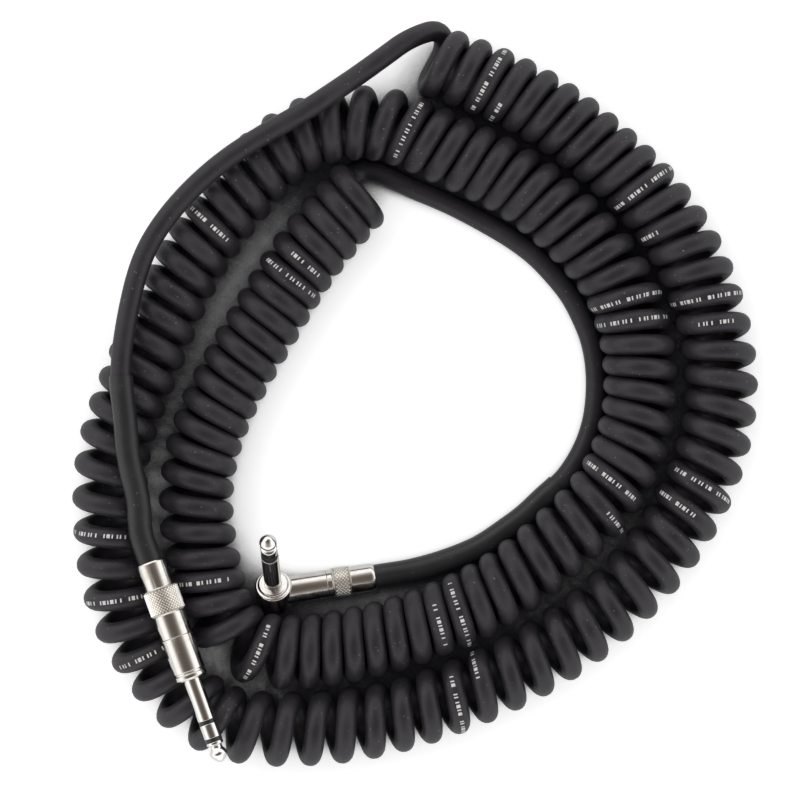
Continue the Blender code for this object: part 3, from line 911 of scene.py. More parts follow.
ANGLED_LEAD_ROUTE = (
    (61.3, 165.2, 3.85), (70.9, 161.0, 3.85), (82.2, 155.1, 3.85), (93.5, 148.4, 3.85),
    (102.1, 141.8, 3.85), (108.8, 134.8, 3.85), (114.4, 127.7, 3.85), (118.4, 120.3, 3.85),
    (121.8, 112.0, 3.85), (123.7, 102.9, 3.85), (124.1, 93.1, 3.85), (123.2, 83.6, 3.85),
    (120.8, 74.8, 3.9), (116.9, 66.8, 4.2), (111.7, 59.6, 4.5), (104.6, 53.0, 4.5),
    (97.5, 46.4, 4.5), (89.3, 40.3, 4.5), (80.7, 34.7, 4.5), (72.8, 31.3, 4.5), (61.7, 27.6, 4.5),
)


@dataclass
class Cord:
    """The whole flexible cord: both straight runs, the coil, its marks and the sleeves at its ends.

    Attributes:
        radius: The cord's radius.
        curl: A curl's radius, to the cord's middle.
        axis_height: How high the coil's axis lies over the floor.
        curls: How many curls the coil has.
        points_per_curl: Points of the middle line in each of them.
        sides: Faces round the jacket.
        first_phase: Where on its circle the first curl starts.
        start_trim: How much of the route the coil leaves out at its start.
        end_trim: How much it leaves out at its end.
        tight: The least distance from one curl to the next.
        pushes: How often curls may be pushed apart.
        push: The share of what they lack that each push gives.
        slack: What they may still lack.
        axis_points: Places at which the route is measured.
        bend_width: How many of them its bend is averaged over.
        bend_step: The distance between points of the bends at the coil's ends.
        lead_step: The distance between points of the straight runs.
        plug_run: How far the cord runs straight out of a plug.
        gap: How far behind a plug's rear the line starts.
        line: The whole middle line.
        coil_from: Where in that line the coil's points are counted from.
        outs: The way out from the coil's axis at each of the coil's points.
    """

    radius: float = 3.75
    curl: float = 10.0
    axis_height: float = 13.0
    curls: int = 129
    points_per_curl: int = 32
    sides: int = 20
    first_phase: float = radians(112.5)
    start_trim: float = 2.3
    end_trim: float = 11.4
    tight: float = 7.52
    pushes: int = 3000
    push: float = 0.25
    slack: float = 0.02
    axis_points: int = 12000
    bend_width: int = 81
    bend_step: float = 1.5
    lead_step: float = 2.5
    plug_run: float = 8.0
    gap: float = 0.3
    line: np.ndarray = field(default_factory=lambda: np.zeros((0, 3)))
    coil_from: int = 0
    outs: np.ndarray = field(default_factory=lambda: np.zeros((0, 3)))

    def spread(self, along: np.ndarray, length: np.ndarray, bend: np.ndarray) -> np.ndarray:
        """Pushes the curls along the axis until none lie in each other on the inside of a bend.

        Args:
            along: How far along the axis each step of a curl lies.
            length: The axis's length up to each of its places.
            bend: How sharply it bends there.

        Returns:
            Where each step lies after the push.
        """
        turn = self.points_per_curl
        ends = slice(0, turn // 2), slice(-(turn // 2), None)
        held = [along[end].copy() for end in ends]
        for _ in range(self.pushes):
            middle = (along[turn:] + along[:-turn]) / 2
            room = self.tight / (1 - self.curl * np.interp(middle, length, bend))
            short = np.maximum(room - (along[turn:] - along[:-turn]), 0)
            if short.max() < self.slack:
                break
            along[:-turn] -= short * self.push
            along[turn:] += short * self.push
            for end, kept in zip(ends, held):
                along[end] = kept
        return along

    def coil_axis(self) -> tuple[np.ndarray, np.ndarray]:
        """The coil's axis at every step of a curl.

        Returns:
            The axis's places, and the way it runs there.
        """
        route = np.array(COIL_ROUTE)
        knots, at = spline_through(np.column_stack((route[:, :2], np.zeros(len(route)))))
        places = np.linspace(self.start_trim, knots[-1] - self.end_trim, self.axis_points)
        dense = at(places)[:, :2]
        length = lengths(dense)
        run = np.gradient(dense, length, axis=0)
        bend = np.abs(np.gradient(np.unwrap(np.arctan2(run[:, 1], run[:, 0])), length))
        bend = evened(bend, self.bend_width)
        turns = np.interp(places, knots, route[:, 2])
        turns = (turns - turns[0]) / (turns[-1] - turns[0]) * self.curls
        wanted = np.arange(self.curls * self.points_per_curl + 1) / self.points_per_curl
        along = evened(np.interp(wanted, turns, length), 2 * self.points_per_curl + 1)
        along = self.spread(along, length, bend)
        along = evened(along, self.points_per_curl // 2 + 1)
        along[0], along[-1] = 0, length[-1]
        place = np.column_stack([np.interp(along, length, dense[:, k]) for k in (0, 1)])
        run = np.column_stack([np.interp(along, length, run[:, k]) for k in (0, 1)])
        return place, unit(run)

    def coil(self) -> tuple[np.ndarray, np.ndarray]:
        """The cord's middle line in the coil, and the way out from the coil's axis at each point."""
        place, run = self.coil_axis()
        phase = self.first_phase + 2 * pi * np.arange(len(place)) / self.points_per_curl
        side = np.column_stack((-run[:, 1], run[:, 0], np.zeros(len(run))))
        outs = side * np.sin(phase)[:, None]
        outs[:, 2] = np.cos(phase)
        axis = np.column_stack((place, np.full(len(place), self.axis_height)))
        return axis + self.curl * outs, outs

    def joined(
        self, first: Any, first_run: np.ndarray, middle: Any, last: Any, last_run: np.ndarray
    ) -> np.ndarray:
        """Points of a smooth bend between two ends, neither of them included.

        Args:
            first: Where it starts.
            first_run: The way it runs there.
            middle: Points that it goes through.
            last: Where it ends.
            last_run: The way it runs there.

        Returns:
            Points about bend_step apart.
        """
        knots, at = spline_through([first, *middle, last], first_run, last_run)
        return at(np.linspace(0, knots[-1], int(knots[-1] / self.bend_step) + 1))[1:-1]

    def lead(self, place: Matrix, rear: float, route: Any, meet: Point, meet_run: np.ndarray) -> np.ndarray:
        """A straight run's middle line, from the plug's rear to the coil's end.

        Args:
            place: The plug's frame.
            rear: Where the plug ends in it.
            route: Points that the run goes through.
            meet: Where it meets the coil.
            meet_run: The way it runs there.

        Returns:
            Points about lead_step apart.
        """
        out = -np.array(place.col[2][:3])
        plug_end = np.array((place @ Vector((0, 0, rear - self.gap)))[:3])
        leave = plug_end + self.plug_run * out
        arrive = np.array(meet) - 2 * self.radius * meet_run
        knots, at = spline_through([leave, *route, arrive], out, meet_run)
        count = int(knots[-1] / self.lead_step)
        straight = plug_end + np.linspace(0, 1, 4)[:-1, None] * (leave - plug_end)
        last = arrive + np.linspace(0, 1, 4)[1:, None] * (np.array(meet) - arrive)
        return np.concatenate((straight, at(np.linspace(0, knots[-1], count + 1)), last))

    def lay(self, straight: StraightPlug, angled: AngledPlug) -> None:
        """Works out the cord's whole middle line, from the straight plug to the right-angle plug."""
        start_run, end_run = unit(np.array(START_RUN)), unit(np.array(END_RUN))
        coil, self.outs = self.coil()
        runs = unit(np.gradient(coil, axis=0))
        head, tail = START_SKIP, len(coil) - 1 - END_SKIP
        into = self.joined(START_CUT, start_run, START_BEND, coil[head], runs[head])
        out_of = self.joined(coil[tail], runs[tail], END_BEND, END_CUT, end_run)
        before = self.lead(straight.place, straight.rear, STRAIGHT_LEAD_ROUTE, START_CUT, start_run)
        after = self.lead(angled.barrel, angled.rear, ANGLED_LEAD_ROUTE[::-1], END_CUT, -end_run)[::-1]
        self.coil_from = len(before) + len(into) - head
        self.line = np.concatenate((before, into, coil[head : tail + 1], out_of, after))

    def length(self) -> float:
        """The cord's length along its middle line, in metres."""
        return float(lengths(self.line)[-1]) * MM

    def jacket(self, finish: bpy.types.Material) -> bpy.types.Object:
        """The cord's rubber jacket as one tube, pressed a little where its curls stand on the floor."""
        points, faces = rod(self.line, np.full(len(self.line), self.radius), self.sides)
        points[:, 2] = np.maximum(points[:, 2], 0.0)
        return made_piece("cable_jacket", points, faces, finish, sharp=0, mend=False)

    def sleeve(self, sleeve: Sleeve, place: Matrix, rear: float, finish: bpy.types.Material) -> None:
        """A shrunk sleeve over one end of the cord, with faint waves, a taper and a soft lip.

        Args:
            sleeve: Its sizes.
            place: The frame of the plug that it comes out of.
            rear: Where the plug ends in that frame.
            finish: What it is dressed in.
        """
        near = self.line[:: -1 if sleeve.at_end else 1][:SLEEVE_REACH]
        at = np.linspace(0, sleeve.length, int(sleeve.length / SLEEVE_STEP))
        outside = np.column_stack([np.interp(at, lengths(near), near[:, k]) for k in range(3)])
        inside = set_in([(0, 0, rear + SLEEVE_INSIDE * (1 - k / 3)) for k in range(3)], place)
        stretch = np.concatenate((inside, outside))
        along = np.linspace(0, 1, len(stretch))
        wide = sleeve.radius + (SLEEVE_END_RADIUS - sleeve.radius) * along
        wide += SLEEVE_WAVE * np.sin(along * 21.0) * np.sin(along * 8.3 + 1.0)
        wide[-1] -= SLEEVE_LIP
        points, faces = hose(stretch, wide, self.radius + SLEEVE_FIT, SLEEVE_SIDES)
        made = made_piece(sleeve.name, points, faces, finish)
        settle(made, Body.CABLE, Slot.SHRINK, [sleeve.node])

    def stroke(self, curl: float, shift: float) -> Shell:
        """One printed stroke on the jacket.

        Args:
            curl: Where its middle lies, in curls from the coil's start.
            shift: How far it is turned round the cord from the coil's outside, in radians.

        Returns:
            Points and faces of a thin patch that follows the jacket.
        """
        step = 2 * pi * self.curl / self.points_per_curl
        middle = curl * self.points_per_curl
        half = STROKE_LENGTH / step / 2
        where = np.linspace(middle - half, middle + half, 4)
        low = where.astype(int)
        share = (where - low)[:, None]
        base = self.coil_from + low
        centre = self.line[base] * (1 - share) + self.line[base + 1] * share
        out = self.outs[low] * (1 - share) + self.outs[low + 1] * share
        run = unit(self.line[base + 1] - self.line[base])
        out = unit(out - (out * run).sum(1)[:, None] * run)
        over = np.cross(run, out)
        rows = []
        for lift in STROKE_LIFTS:
            for turn in np.linspace(-STROKE_WIDTH / 2, STROKE_WIDTH / 2, 4) / self.radius + shift:
                rows.append(centre + (self.radius + lift) * (cos(turn) * out + sin(turn) * over))
        corners = [i * 4 + j for i in range(3) for j in range(3)]
        faces = [(a + 4, a + 5, a + 1, a) for a in corners]
        faces += [(a + 16, a + 17, a + 21, a + 20) for a in corners]
        rim = [0, 1, 2, 3, 7, 11, 15, 14, 13, 12, 8, 4]
        faces += [(a, b, b + 16, a + 16) for a, b in zip(rim, rim[1:] + rim[:1])]
        return np.concatenate(rows), faces

    def marks(self, finish: bpy.types.Material) -> bpy.types.Object:
        """Every stroke printed on the jacket, as one piece."""
        strokes = []
        for run in PRINTED:
            place, number = run.start, 0
            while place < run.end:
                strokes.append(self.stroke(run.curl + HIDDEN_SIDE + place / 2, run.shift))
                number += 1
                gap = BREAK_GAP if number % BREAK_EVERY == run.curl % BREAK_EVERY else STROKE_GAP
                place += (STROKE_LENGTH + gap) / (pi * self.curl)
        points, faces = merged(strokes)
        return made_piece("printed_strokes", points, faces, finish)


@dataclass(frozen=True)
class Sleeve:
    """A heat-shrink sleeve: the node it stands for, its length outside the plug and its radius there."""

    name: str
    node: str
    length: float
    radius: float
    at_end: bool


STRAIGHT_SLEEVE = Sleeve("straight_shrunk_sleeve", "straight_heat_shrink", 68.0, 4.42, False)
ANGLED_SLEEVE = Sleeve("angled_shrunk_sleeve", "angled_heat_shrink", 77.0, 4.4, True)
# Both sleeves: the far end's radius, how far they reach into the plug, the height of their waves, how
# much their lip is drawn in, and their room over the cord
SLEEVE_END_RADIUS = 4.3
SLEEVE_INSIDE = 3.2
SLEEVE_WAVE = 0.03
SLEEVE_LIP = 0.04
SLEEVE_FIT = 0.03
# Their mesh: a ring about every so many millimetres, its sides, and how many of the cord's points they
# can lie on
SLEEVE_STEP = 1.2
SLEEVE_SIDES = 40
SLEEVE_REACH = 200


@dataclass(frozen=True)
class PrintRun:
    """A row of plain printed strokes on the upper half of one curl.

    The curl is counted from the coil's start. Start and end are shares of that half, from the ring's
    inner side to its outer side, and shift is how far the row is turned round the cord, in radians.
    """

    curl: int
    start: float
    end: float
    shift: float = 0.0


# A stroke's size along and across the cord, its top and underside over the jacket, the gap after it,
# and the wider gap after every so many
STROKE_LENGTH = 0.5
STROKE_WIDTH = 1.45
STROKE_LIFTS = (0.04, -0.06)
STROKE_GAP = 0.62
BREAK_GAP = 1.9
BREAK_EVERY = 6
# How far into a curl its upper half starts
HIDDEN_SIDE = 0.4375
PRINTED = (
    PrintRun(2, 0.15, 0.85), PrintRun(3, 0.1, 0.35), PrintRun(10, 0.15, 0.9, 0.2), PrintRun(12, 0.15, 0.35),
    PrintRun(15, 0.1, 0.9, 0.2), PrintRun(16, 0.35, 0.65), PrintRun(22, 0.2, 0.85, -0.2),
    PrintRun(23, 0.15, 0.55), PrintRun(32, 0.1, 0.45, 0.3), PrintRun(33, 0.3, 0.9), PrintRun(44, 0.3, 0.8),
    PrintRun(46, 0.3, 0.85), PrintRun(48, 0.35, 0.9, 0.2), PrintRun(60, 0.3, 0.8), PrintRun(69, 0.2, 0.85),
    PrintRun(81, 0.1, 0.9, 0.3), PrintRun(82, 0.1, 0.85), PrintRun(89, 0.15, 0.75), PrintRun(90, 0.6, 0.95),
    PrintRun(97, 0.2, 0.9), PrintRun(98, 0.35, 0.75), PrintRun(106, 0.25, 0.8), PrintRun(109, 0.3, 0.8),
    PrintRun(123, 0.2, 0.8, 0.2), PrintRun(124, 0.3, 0.6),
)


# ---------------------------------------------------------------- plugs


# A quarter-inch pin's radius and length, and the pitch of both rear shells' threads
PIN = 3.175
PIN_LENGTH = 31.5
THREAD_PITCH = 0.8
PLUG_SIDES = 96


def turned(
    name: str, place: Matrix, profile: Profile, finish: bpy.types.Material, ease: float = 0.12
) -> bpy.types.Object:
    """A piece turned round a frame's Z axis, with its corners eased."""
    points, faces = lathe(eased(profile, ease, profile[0][0] > 0), PLUG_SIDES, place)
    return made_piece(name, points, faces, finish)


@dataclass(frozen=True)
class Turned:
    """A turned piece of a plug: the node it stands for, its finish's name, its easing and its profile."""

    name: str
    node: str
    finish: str
    ease: float
    profile: Profile
    body: Body = Body.CABLE
    slot: Slot = Slot.NICKEL

    def build(self, place: Matrix, finishes: dict[str, bpy.types.Material]) -> None:
        """Turns the piece round a frame's Z axis and dresses it."""
        piece = turned(self.name, place, self.profile, finishes[self.finish], self.ease)
        settle(piece, self.body, self.slot, [self.node] if self.node else ())


@dataclass
class StraightPlug:
    """The straight plug with three contacts."""

    shoulder: Point = (-23.1, -11.3, 29.9)
    tip_heading: float = radians(-70.1)
    nose_up: float = radians(2.73)
    seam: float = -16.1
    rear: float = -44.7

    @property
    def place(self) -> Matrix:
        """The plug's frame: Z to the tip, X to its upper side."""
        return frame_of(self.shoulder, heading_of(self.tip_heading, self.nose_up), Vector((0, 0, 1)))

    def body_pieces(self) -> tuple[Turned, ...]:
        """The contacts, the bands between them and the body, with their profiles from the shoulder."""
        return (
            Turned("straight_point", "straight_tip", "bright", 0.3, (
                (0, 31.5), (0.75, 31.42), (1.35, 31.1), (1.9, 30.55), (2.75, 29.5), (PIN, 28.75),
                (PIN, 27.95), (2.75, 27.1), (2.15, 26.3), (2.1, 25.3), (2.6, 25.1), (3.05, 24.8),
                (3.1, 23.75), (0.9, 23.75), (0.9, -10.7), (0, -10.7),
            )),
            Turned("straight_front_band", "straight_front_insulator", "black", 0.12, (
                (0.95, 23.7), (3.12, 23.7), (3.12, 22.35), (1.3, 22.35), (1.3, -8.45), (0.95, -8.45),
            ), slot=Slot.BLACK),
            Turned("straight_ring_band", "straight_ring_contact", "bright", 0.2, (
                (1.35, 22.3), (PIN, 22.3), (PIN, 17.05), (1.8, 17.05), (1.8, -8.4), (1.35, -8.4),
            )),
            Turned("straight_rear_band", "straight_rear_insulator", "black", 0.12, (
                (1.85, 17.0), (3.12, 17.0), (3.12, 15.65), (2.3, 15.65), (2.3, -6.8), (1.85, -6.8),
            ), slot=Slot.BLACK),
            Turned("straight_pin_sleeve", "straight_sleeve_contact", "bright", 0.2, (
                (2.35, 15.6), (PIN, 15.6), (PIN, -4.6), (4.1, -4.6), (4.1, -6.2), (2.35, -6.2),
            )),
            Turned("straight_barrel", "straight_front_body", "nickel", 0.16, (
                (3.25, 0), (5.1, 0), (5.88, -0.75), (5.88, -2.0), (5.5, -2.3), (5.5, -2.9),
                (5.85, -3.2), (5.85, self.seam), (4.85, self.seam), (4.85, -23.0), (4.2, -23.0),
                (4.2, -4.5), (3.25, -4.5),
            )),
        )

    def shell_pieces(self) -> tuple[Turned, ...]:
        """The rear shell and the bed under its knurl, with their profiles from the shoulder."""
        return (
            Turned("straight_grip", "straight_rear_shell", "nickel", 0.16, (
                (5.08, self.seam - 0.1), (5.85, self.seam - 0.1), (5.85, -24.9), (6.3, -25.1),
                (6.34, -25.3), (6.05, -25.5), (6.05, -34.4), (6.34, -34.5), (6.3, -34.7),
                (5.35, -34.8), (5.35, -44.1), (4.95, self.rear), (4.7, self.rear), (4.7, -35.0),
                (5.08, -34.5),
            ), Body.STRAIGHT_SHELL),
            # Its finish is the darker copy of the nickel: painted shade between the diamonds.
            Turned("straight_knurl_bed", "", "painted_shade_groove", 0.02, (
                (6.0, -25.52), (6.08, -25.52), (6.08, -34.38), (6.0, -34.38),
            ), Body.STRAIGHT_SHELL),
        )

    def build(self) -> None:
        """Makes and dresses every piece of the plug."""
        frame_m = in_metres(self.place)
        finishes = {
            "nickel": NICKEL.dress("straight_nickel", frame_m),
            "bright": BRIGHT_NICKEL.dress("straight_bright_nickel", frame_m),
            # knurl: the diamonds' lighter copy of the nickel, a painted highlight.
            "knurl": KNURL_NICKEL_PAINTED_HIGHLIGHT.dress("straight_knurl_painted_highlight", frame_m),
            # groove: the bed's darker copy of the nickel, painted shade between the diamonds.
            "painted_shade_groove": KNURL_BED_PAINTED_SHADE.dress("straight_knurl_bed_painted_shade", frame_m),
            "black": INSULATOR.dress("straight_black", frame_m),
        }
        for piece in self.body_pieces():
            piece.build(self.place, finishes)
        thread = Helix("straight_thread", 4.84, self.seam - 0.7, -22.6, THREAD_PITCH, 0.16, edges=4)
        settle(thread.grow(finishes["nickel"], self.place), Body.CABLE, Slot.NICKEL)
        for piece in self.shell_pieces():
            piece.build(self.place, finishes)
        # The diamonds wear the lighter copy of the nickel: a painted highlight.
        knurl = Knurl("straight_grip_knurl", 6.04, -26.1, 13, 30, 0.64)
        settle(knurl.grow(finishes["knurl"], self.place), Body.STRAIGHT_SHELL, Slot.NICKEL)


@dataclass
class AngledPlug:
    """The right-angle plug with two contacts."""

    head: Point = (5.4, 18.3, 8.12)
    lean: float = radians(34.4)
    azimuth: float = radians(92.3)
    barrel_heading: float = radians(8.55)
    barrel_dip: float = radians(4.5)
    collar_top: float = 6.9
    seam: float = -19.7
    rear: float = -37.5

    @property
    def pin(self) -> Matrix:
        """The pin's frame: Z to the tip, X along the barrel to its rear."""
        barrel = heading_of(self.barrel_heading, -self.barrel_dip)
        return frame_of(self.head, heading_of(self.azimuth, pi / 2 - self.lean), barrel)

    @property
    def barrel(self) -> Matrix:
        """The barrel's frame: Z along it to the head."""
        pin = self.pin
        x, y, z = (Vector(pin.col[k][:3]) for k in range(3))
        place = Matrix((z, y, -x)).transposed().to_4x4()
        place.translation = Vector(self.head)
        return place

    def bored_head(self, finish: bpy.types.Material) -> bpy.types.Object:
        """The cast head with its collar and stub, bored for the pin and the wires."""
        top = self.collar_top
        casting = (
            (0, top), (5.1, top), (5.6, 6.4), (5.6, 5.7), (6.3, 5.7), (6.8, 5.2), (6.8, -4.8), (6.2, -5.4),
            (0, -5.4),
        )
        head = turned("angled_casting", self.pin, casting, finish, 0.25)
        stub = ((0, -1.0), (5.1, -1.0), (5.1, self.seam), (4.1, self.seam), (4.1, -24.2), (0, -24.2))
        hollows = {
            "cavity": (self.pin, ((0, 3.8), (5.15, 3.8), (5.15, -6.5), (0, -6.5))),
            "pin_bore": (self.pin, ((0, 8), (3.25, 8), (3.25, 2), (0, 2))),
            "wire_bore": (self.barrel, ((0, 0), (3.3, 0), (3.3, -26), (0, -26))),
        }
        tools = [("UNION", turned("stub", self.barrel, stub, finish, 0.1))]
        for name, (place, outline) in hollows.items():
            tools.append(("DIFFERENCE", turned(name, place, outline, finish)))
        for operation, tool in tools:
            step = head.modifiers.new(tool.name, "BOOLEAN")
            step.operation, step.solver, step.object = operation, "EXACT", tool
        mesh = mesh_with_modifiers(head)
        for _, tool in tools:
            bpy.data.objects.remove(tool, do_unlink=True)
        mesh.materials.clear()
        mesh.materials.append(finish)
        mesh.shade_smooth()
        mesh.set_sharp_from_angle(angle=SHARP)
        head.data = mesh
        return head

    def pin_pieces(self) -> tuple[Turned, ...]:
        """The pieces turned on the pin's axis, with their profiles from the barrel's axis."""
        top = self.collar_top + PIN_LENGTH
        return (
            Turned("angled_cover", "angled_back_plate", "nickel", 0.12, (
                (0, -4.3), (5.05, -4.3), (5.05, -5.3), (0, -5.3),
            )),
            Turned("angled_point", "angled_tip", "bright", 0.3, (
                (0, top), (0.75, top - 0.08), (1.35, top - 0.4), (1.9, top - 0.95), (2.75, top - 2.0),
                (PIN, top - 2.75), (PIN, top - 3.55), (2.75, top - 4.4), (2.15, top - 5.3),
                (2.1, top - 6.2), (2.6, top - 6.4), (3.05, top - 6.75), (3.1, 28.65), (1.0, 28.65),
                (1.0, -0.4), (0, -0.4),
            )),
            Turned("angled_band", "angled_insulator", "black", 0.12, (
                (1.05, 28.6), (3.12, 28.6), (3.12, 25.8), (1.9, 25.8), (1.9, 1.9), (1.05, 1.9),
            ), slot=Slot.BLACK),
            Turned("angled_pin_sleeve", "angled_sleeve_contact", "bright", 0.2, (
                (1.95, 25.75), (PIN, 25.75), (PIN, 3.7), (4.1, 3.7), (4.1, 2.5), (1.95, 2.5),
            )),
        )

    def nut_pieces(self) -> tuple[Turned, ...]:
        """The pieces turned on the barrel's axis, with their profiles from the pin's axis."""
        return (
            Turned("angled_grip", "angled_nut", "nut", 0.16, (
                (4.3, self.seam - 0.1), (5.1, self.seam - 0.1), (5.1, -21.6), (5.55, -21.8), (5.6, -22.0),
                (5.28, -22.2), (5.28, -28.1), (5.6, -28.2), (5.55, -28.4), (5.1, -28.5), (5.1, -36.3),
                (4.95, -36.9), (4.7, -37.4), (4.6, self.rear), (4.6, -29.4), (4.95, -28.9),
                (4.95, -24.6), (4.3, -24.6),
            ), Body.ANGLED_NUT),
            # Its finish is the darker copy of the nickel: painted shade between the diamonds.
            Turned("angled_knurl_bed", "", "painted_shade_groove", 0.02, (
                (5.24, -22.22), (5.31, -22.22), (5.31, -28.08), (5.24, -28.08),
            ), Body.ANGLED_NUT),
        )

    def build(self) -> None:
        """Makes and dresses every piece of the plug."""
        pin_m, barrel_m = in_metres(self.pin), in_metres(self.barrel)
        finishes = {
            "nickel": NICKEL.dress("angled_nickel", pin_m),
            "nut": NICKEL.dress("angled_nut_nickel", barrel_m),
            "bright": BRIGHT_NICKEL.dress("angled_bright_nickel", pin_m),
            "black": INSULATOR.dress("angled_black", pin_m),
            # groove: the bed's darker copy of the nickel, painted shade between the diamonds.
            "painted_shade_groove": KNURL_BED_PAINTED_SHADE.dress("angled_knurl_bed_painted_shade", barrel_m),
            # knurl: the diamonds' lighter copy of the nickel, a painted highlight.
            "knurl": KNURL_NICKEL_PAINTED_HIGHLIGHT.dress("angled_knurl_painted_highlight", barrel_m),
        }
        settle(self.bored_head(finishes["nickel"]), Body.CABLE, Slot.NICKEL, ["angled_head"])
        for piece in self.pin_pieces():
            piece.build(self.pin, finishes)
        for piece in self.nut_pieces():
            piece.build(self.barrel, finishes)
        # The diamonds wear the lighter copy of the nickel: a painted highlight.
        knurl = Knurl("angled_grip_knurl", 5.27, -22.9, 8, 22, 0.65, 0.42)
        settle(knurl.grow(finishes["knurl"], self.barrel), Body.ANGLED_NUT, Slot.NICKEL)
        thread = Helix("angled_thread", 4.08, self.seam - 0.6, -23.9, THREAD_PITCH, 0.14, edges=4)
        settle(thread.grow(finishes["nickel"], self.barrel), Body.CABLE, Slot.NICKEL)


# ---------------------------------------------------------------- inside the plugs


# The core wire's radius, and the pigtail's strands: how many, the radius they are wound at, how fast
# they turn, in radians a millimetre, and their own radius
CORE_RADIUS = 1.3
TWIST_STRANDS = 5
TWIST_RADIUS = 0.34
TWIST_RATE = 1.5
STRAND_RADIUS = 0.23
# The braid's two layers, as their radius and whether they are wound left-handed, and the strands of
# both: their pitch, their own radius and how many there are
BRAID_LAYERS = {"right": (1.78, False), "left": (1.93, True)}
BRAID_PITCH = 9.0
BRAID_STRAND = 0.14
BRAID_STRANDS = 12


@dataclass
class Wiring:
    """What one plug holds: the cord's stripped layers, its wire and pigtail, lugs, washers and clamp."""

    side: str
    place: Matrix
    wire_place: Matrix
    front: float
    rear: float
    core: tuple[Point, ...]
    pigtail: tuple[Point, ...]
    kept: dict[str, Any]

    def core_wire(self) -> Shell:
        """The insulated wire that runs to the tip's lug."""
        knots, at = spline_through(self.core)
        line = set_in(at(np.linspace(0, knots[-1], 40)), self.wire_place)
        return rod(line, np.full(len(line), CORE_RADIUS), 20)

    def twist(self) -> Shell:
        """The shield's wires, twisted into one strand."""
        knots, at = spline_through(self.pigtail)
        along = np.linspace(0, knots[-1], 90)
        line = at(along)
        across, over = frames_along(line)
        strands = []
        for number in range(TWIST_STRANDS):
            angle = (along * TWIST_RATE + number * 2 * pi / TWIST_STRANDS)[:, None]
            wound = line + TWIST_RADIUS * (np.cos(angle) * across + np.sin(angle) * over)
            strands.append(rod(wound, np.full(len(wound), STRAND_RADIUS), 8))
        points, faces = merged(strands)
        return set_in(points, self.wire_place), faces

    def build(self) -> None:
        """Makes the wires and gives the lugs, washers, liner and clamp their finishes."""
        side, place_m = self.side, in_metres(self.place)
        rubber = JACKET.dress(side + "_inner_rubber")
        copper = COPPER.dress(side + "_copper", place_m)
        profile = ((2.2, self.front), (3.75, self.front), (3.75, self.rear), (2.2, self.rear))
        jacket = made_piece(side + "_cord_end", *lathe(eased(profile, 0.2, True), 64, self.place), rubber)
        settle(jacket, Body.CABLE, Slot.RUBBER, [side + "_jacket_end"])
        for hand, (radius, left) in BRAID_LAYERS.items():
            layer = Helix(
                f"{side}_braid_{hand}", radius, self.front + 1.4, self.rear + 0.2, BRAID_PITCH,
                BRAID_STRAND, BRAID_STRANDS, left, 24, 5,
            )
            nodes = [] if left else [side + "_shield_braid"]
            settle(layer.grow(copper, self.place), Body.CABLE, Slot.COPPER, nodes)
        wire = made_piece(side + "_wire", *self.core_wire(), WHITE_WIRE.dress(side + "_white", place_m))
        settle(wire, Body.CABLE, Slot.WHITE, [side + "_core_wire"])
        tail = made_piece(side + "_twist", *self.twist(), copper)
        settle(tail, Body.CABLE, Slot.COPPER, [side + "_shield_pigtail"])
        for node, finish in self.kept.items():
            material = finish.dress(node + "_finish", place_m)
            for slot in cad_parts[node].material_slots:
                slot.material = material
            LOG.info("%s keeps its solid and gets a new finish", node)


def beside_axis(azimuth: float, route: Profile) -> tuple[Point, ...]:
    """A route of (distance from the axis, height) on one side of a frame's Z axis."""
    return tuple((reach * cos(azimuth), reach * sin(azimuth), height) for reach, height in route)


def wirings(straight: StraightPlug, angled: AngledPlug) -> list[Wiring]:
    """What both plugs hold."""
    core = (
        (0, -44.7), (0, -29.0), (0.15, -25.5), (0.7, -21.5), (1.35, -18.0), (1.85, -15.0), (1.95, -13.1),
    )
    tail = ((2.05, -27.2), (2.2, -22.0), (2.5, -17.0), (2.65, -10.6))
    fibre = Fibre()
    return [
        Wiring(
            "straight", straight.place, straight.place, -29.0, straight.rear,
            beside_axis(radians(320), core), beside_axis(radians(200), tail),
            {
                "straight_sleeve_lug": TINNED,
                "straight_ring_lug": TINNED,
                "straight_tip_lug": TINNED,
                "straight_insulating_washer": fibre,
                "straight_tip_washer": fibre,
                "straight_liner": CLEAR_LINER,
                "straight_chuck": BRASS,
            },
        ),
        Wiring(
            "angled", angled.barrel, angled.pin, -24.6, angled.rear,
            (
                (37.5, 0, 0), (24.6, 0, 0), (19.0, 0, -0.15), (13.0, 0, -0.8), (8.0, 0, -1.25),
                (2.75, 0, -1.35),
            ),
            ((22.9, 1.45, 1.45), (16.0, 1.5, 1.5), (9.0, 1.6, 1.3), (4.2, 1.75, 1.1)),
            {
                "angled_sleeve_lug": TINNED,
                "angled_tip_lug": TINNED,
                "angled_insulating_washer": fibre,
                "angled_chuck": BRASS,
            },
        ),
    ]


# ---------------------------------------------------------------- studio


# The sky from the horizon, 0, to straight overhead, 1: as metal mirrors it, and as it lights things
MIRRORED_SKY = (
    (0.0, (1.5, 1.5, 1.5)), (0.55, (1.45, 1.43, 1.4)), (0.78, (0.4, 0.36, 0.33)), (0.9, (0.17, 0.145, 0.125)),
    (1.0, (0.11, 0.09, 0.075)),
)
LIGHTING_SKY = (
    (0.0, (0.3, 0.3, 0.3)), (0.25, (0.75, 0.75, 0.75)), (0.5, (1.0, 1.0, 1.0)), (0.9, (1.0, 1.0, 1.0)),
    (1.0, (0.5, 0.5, 0.5)),
)


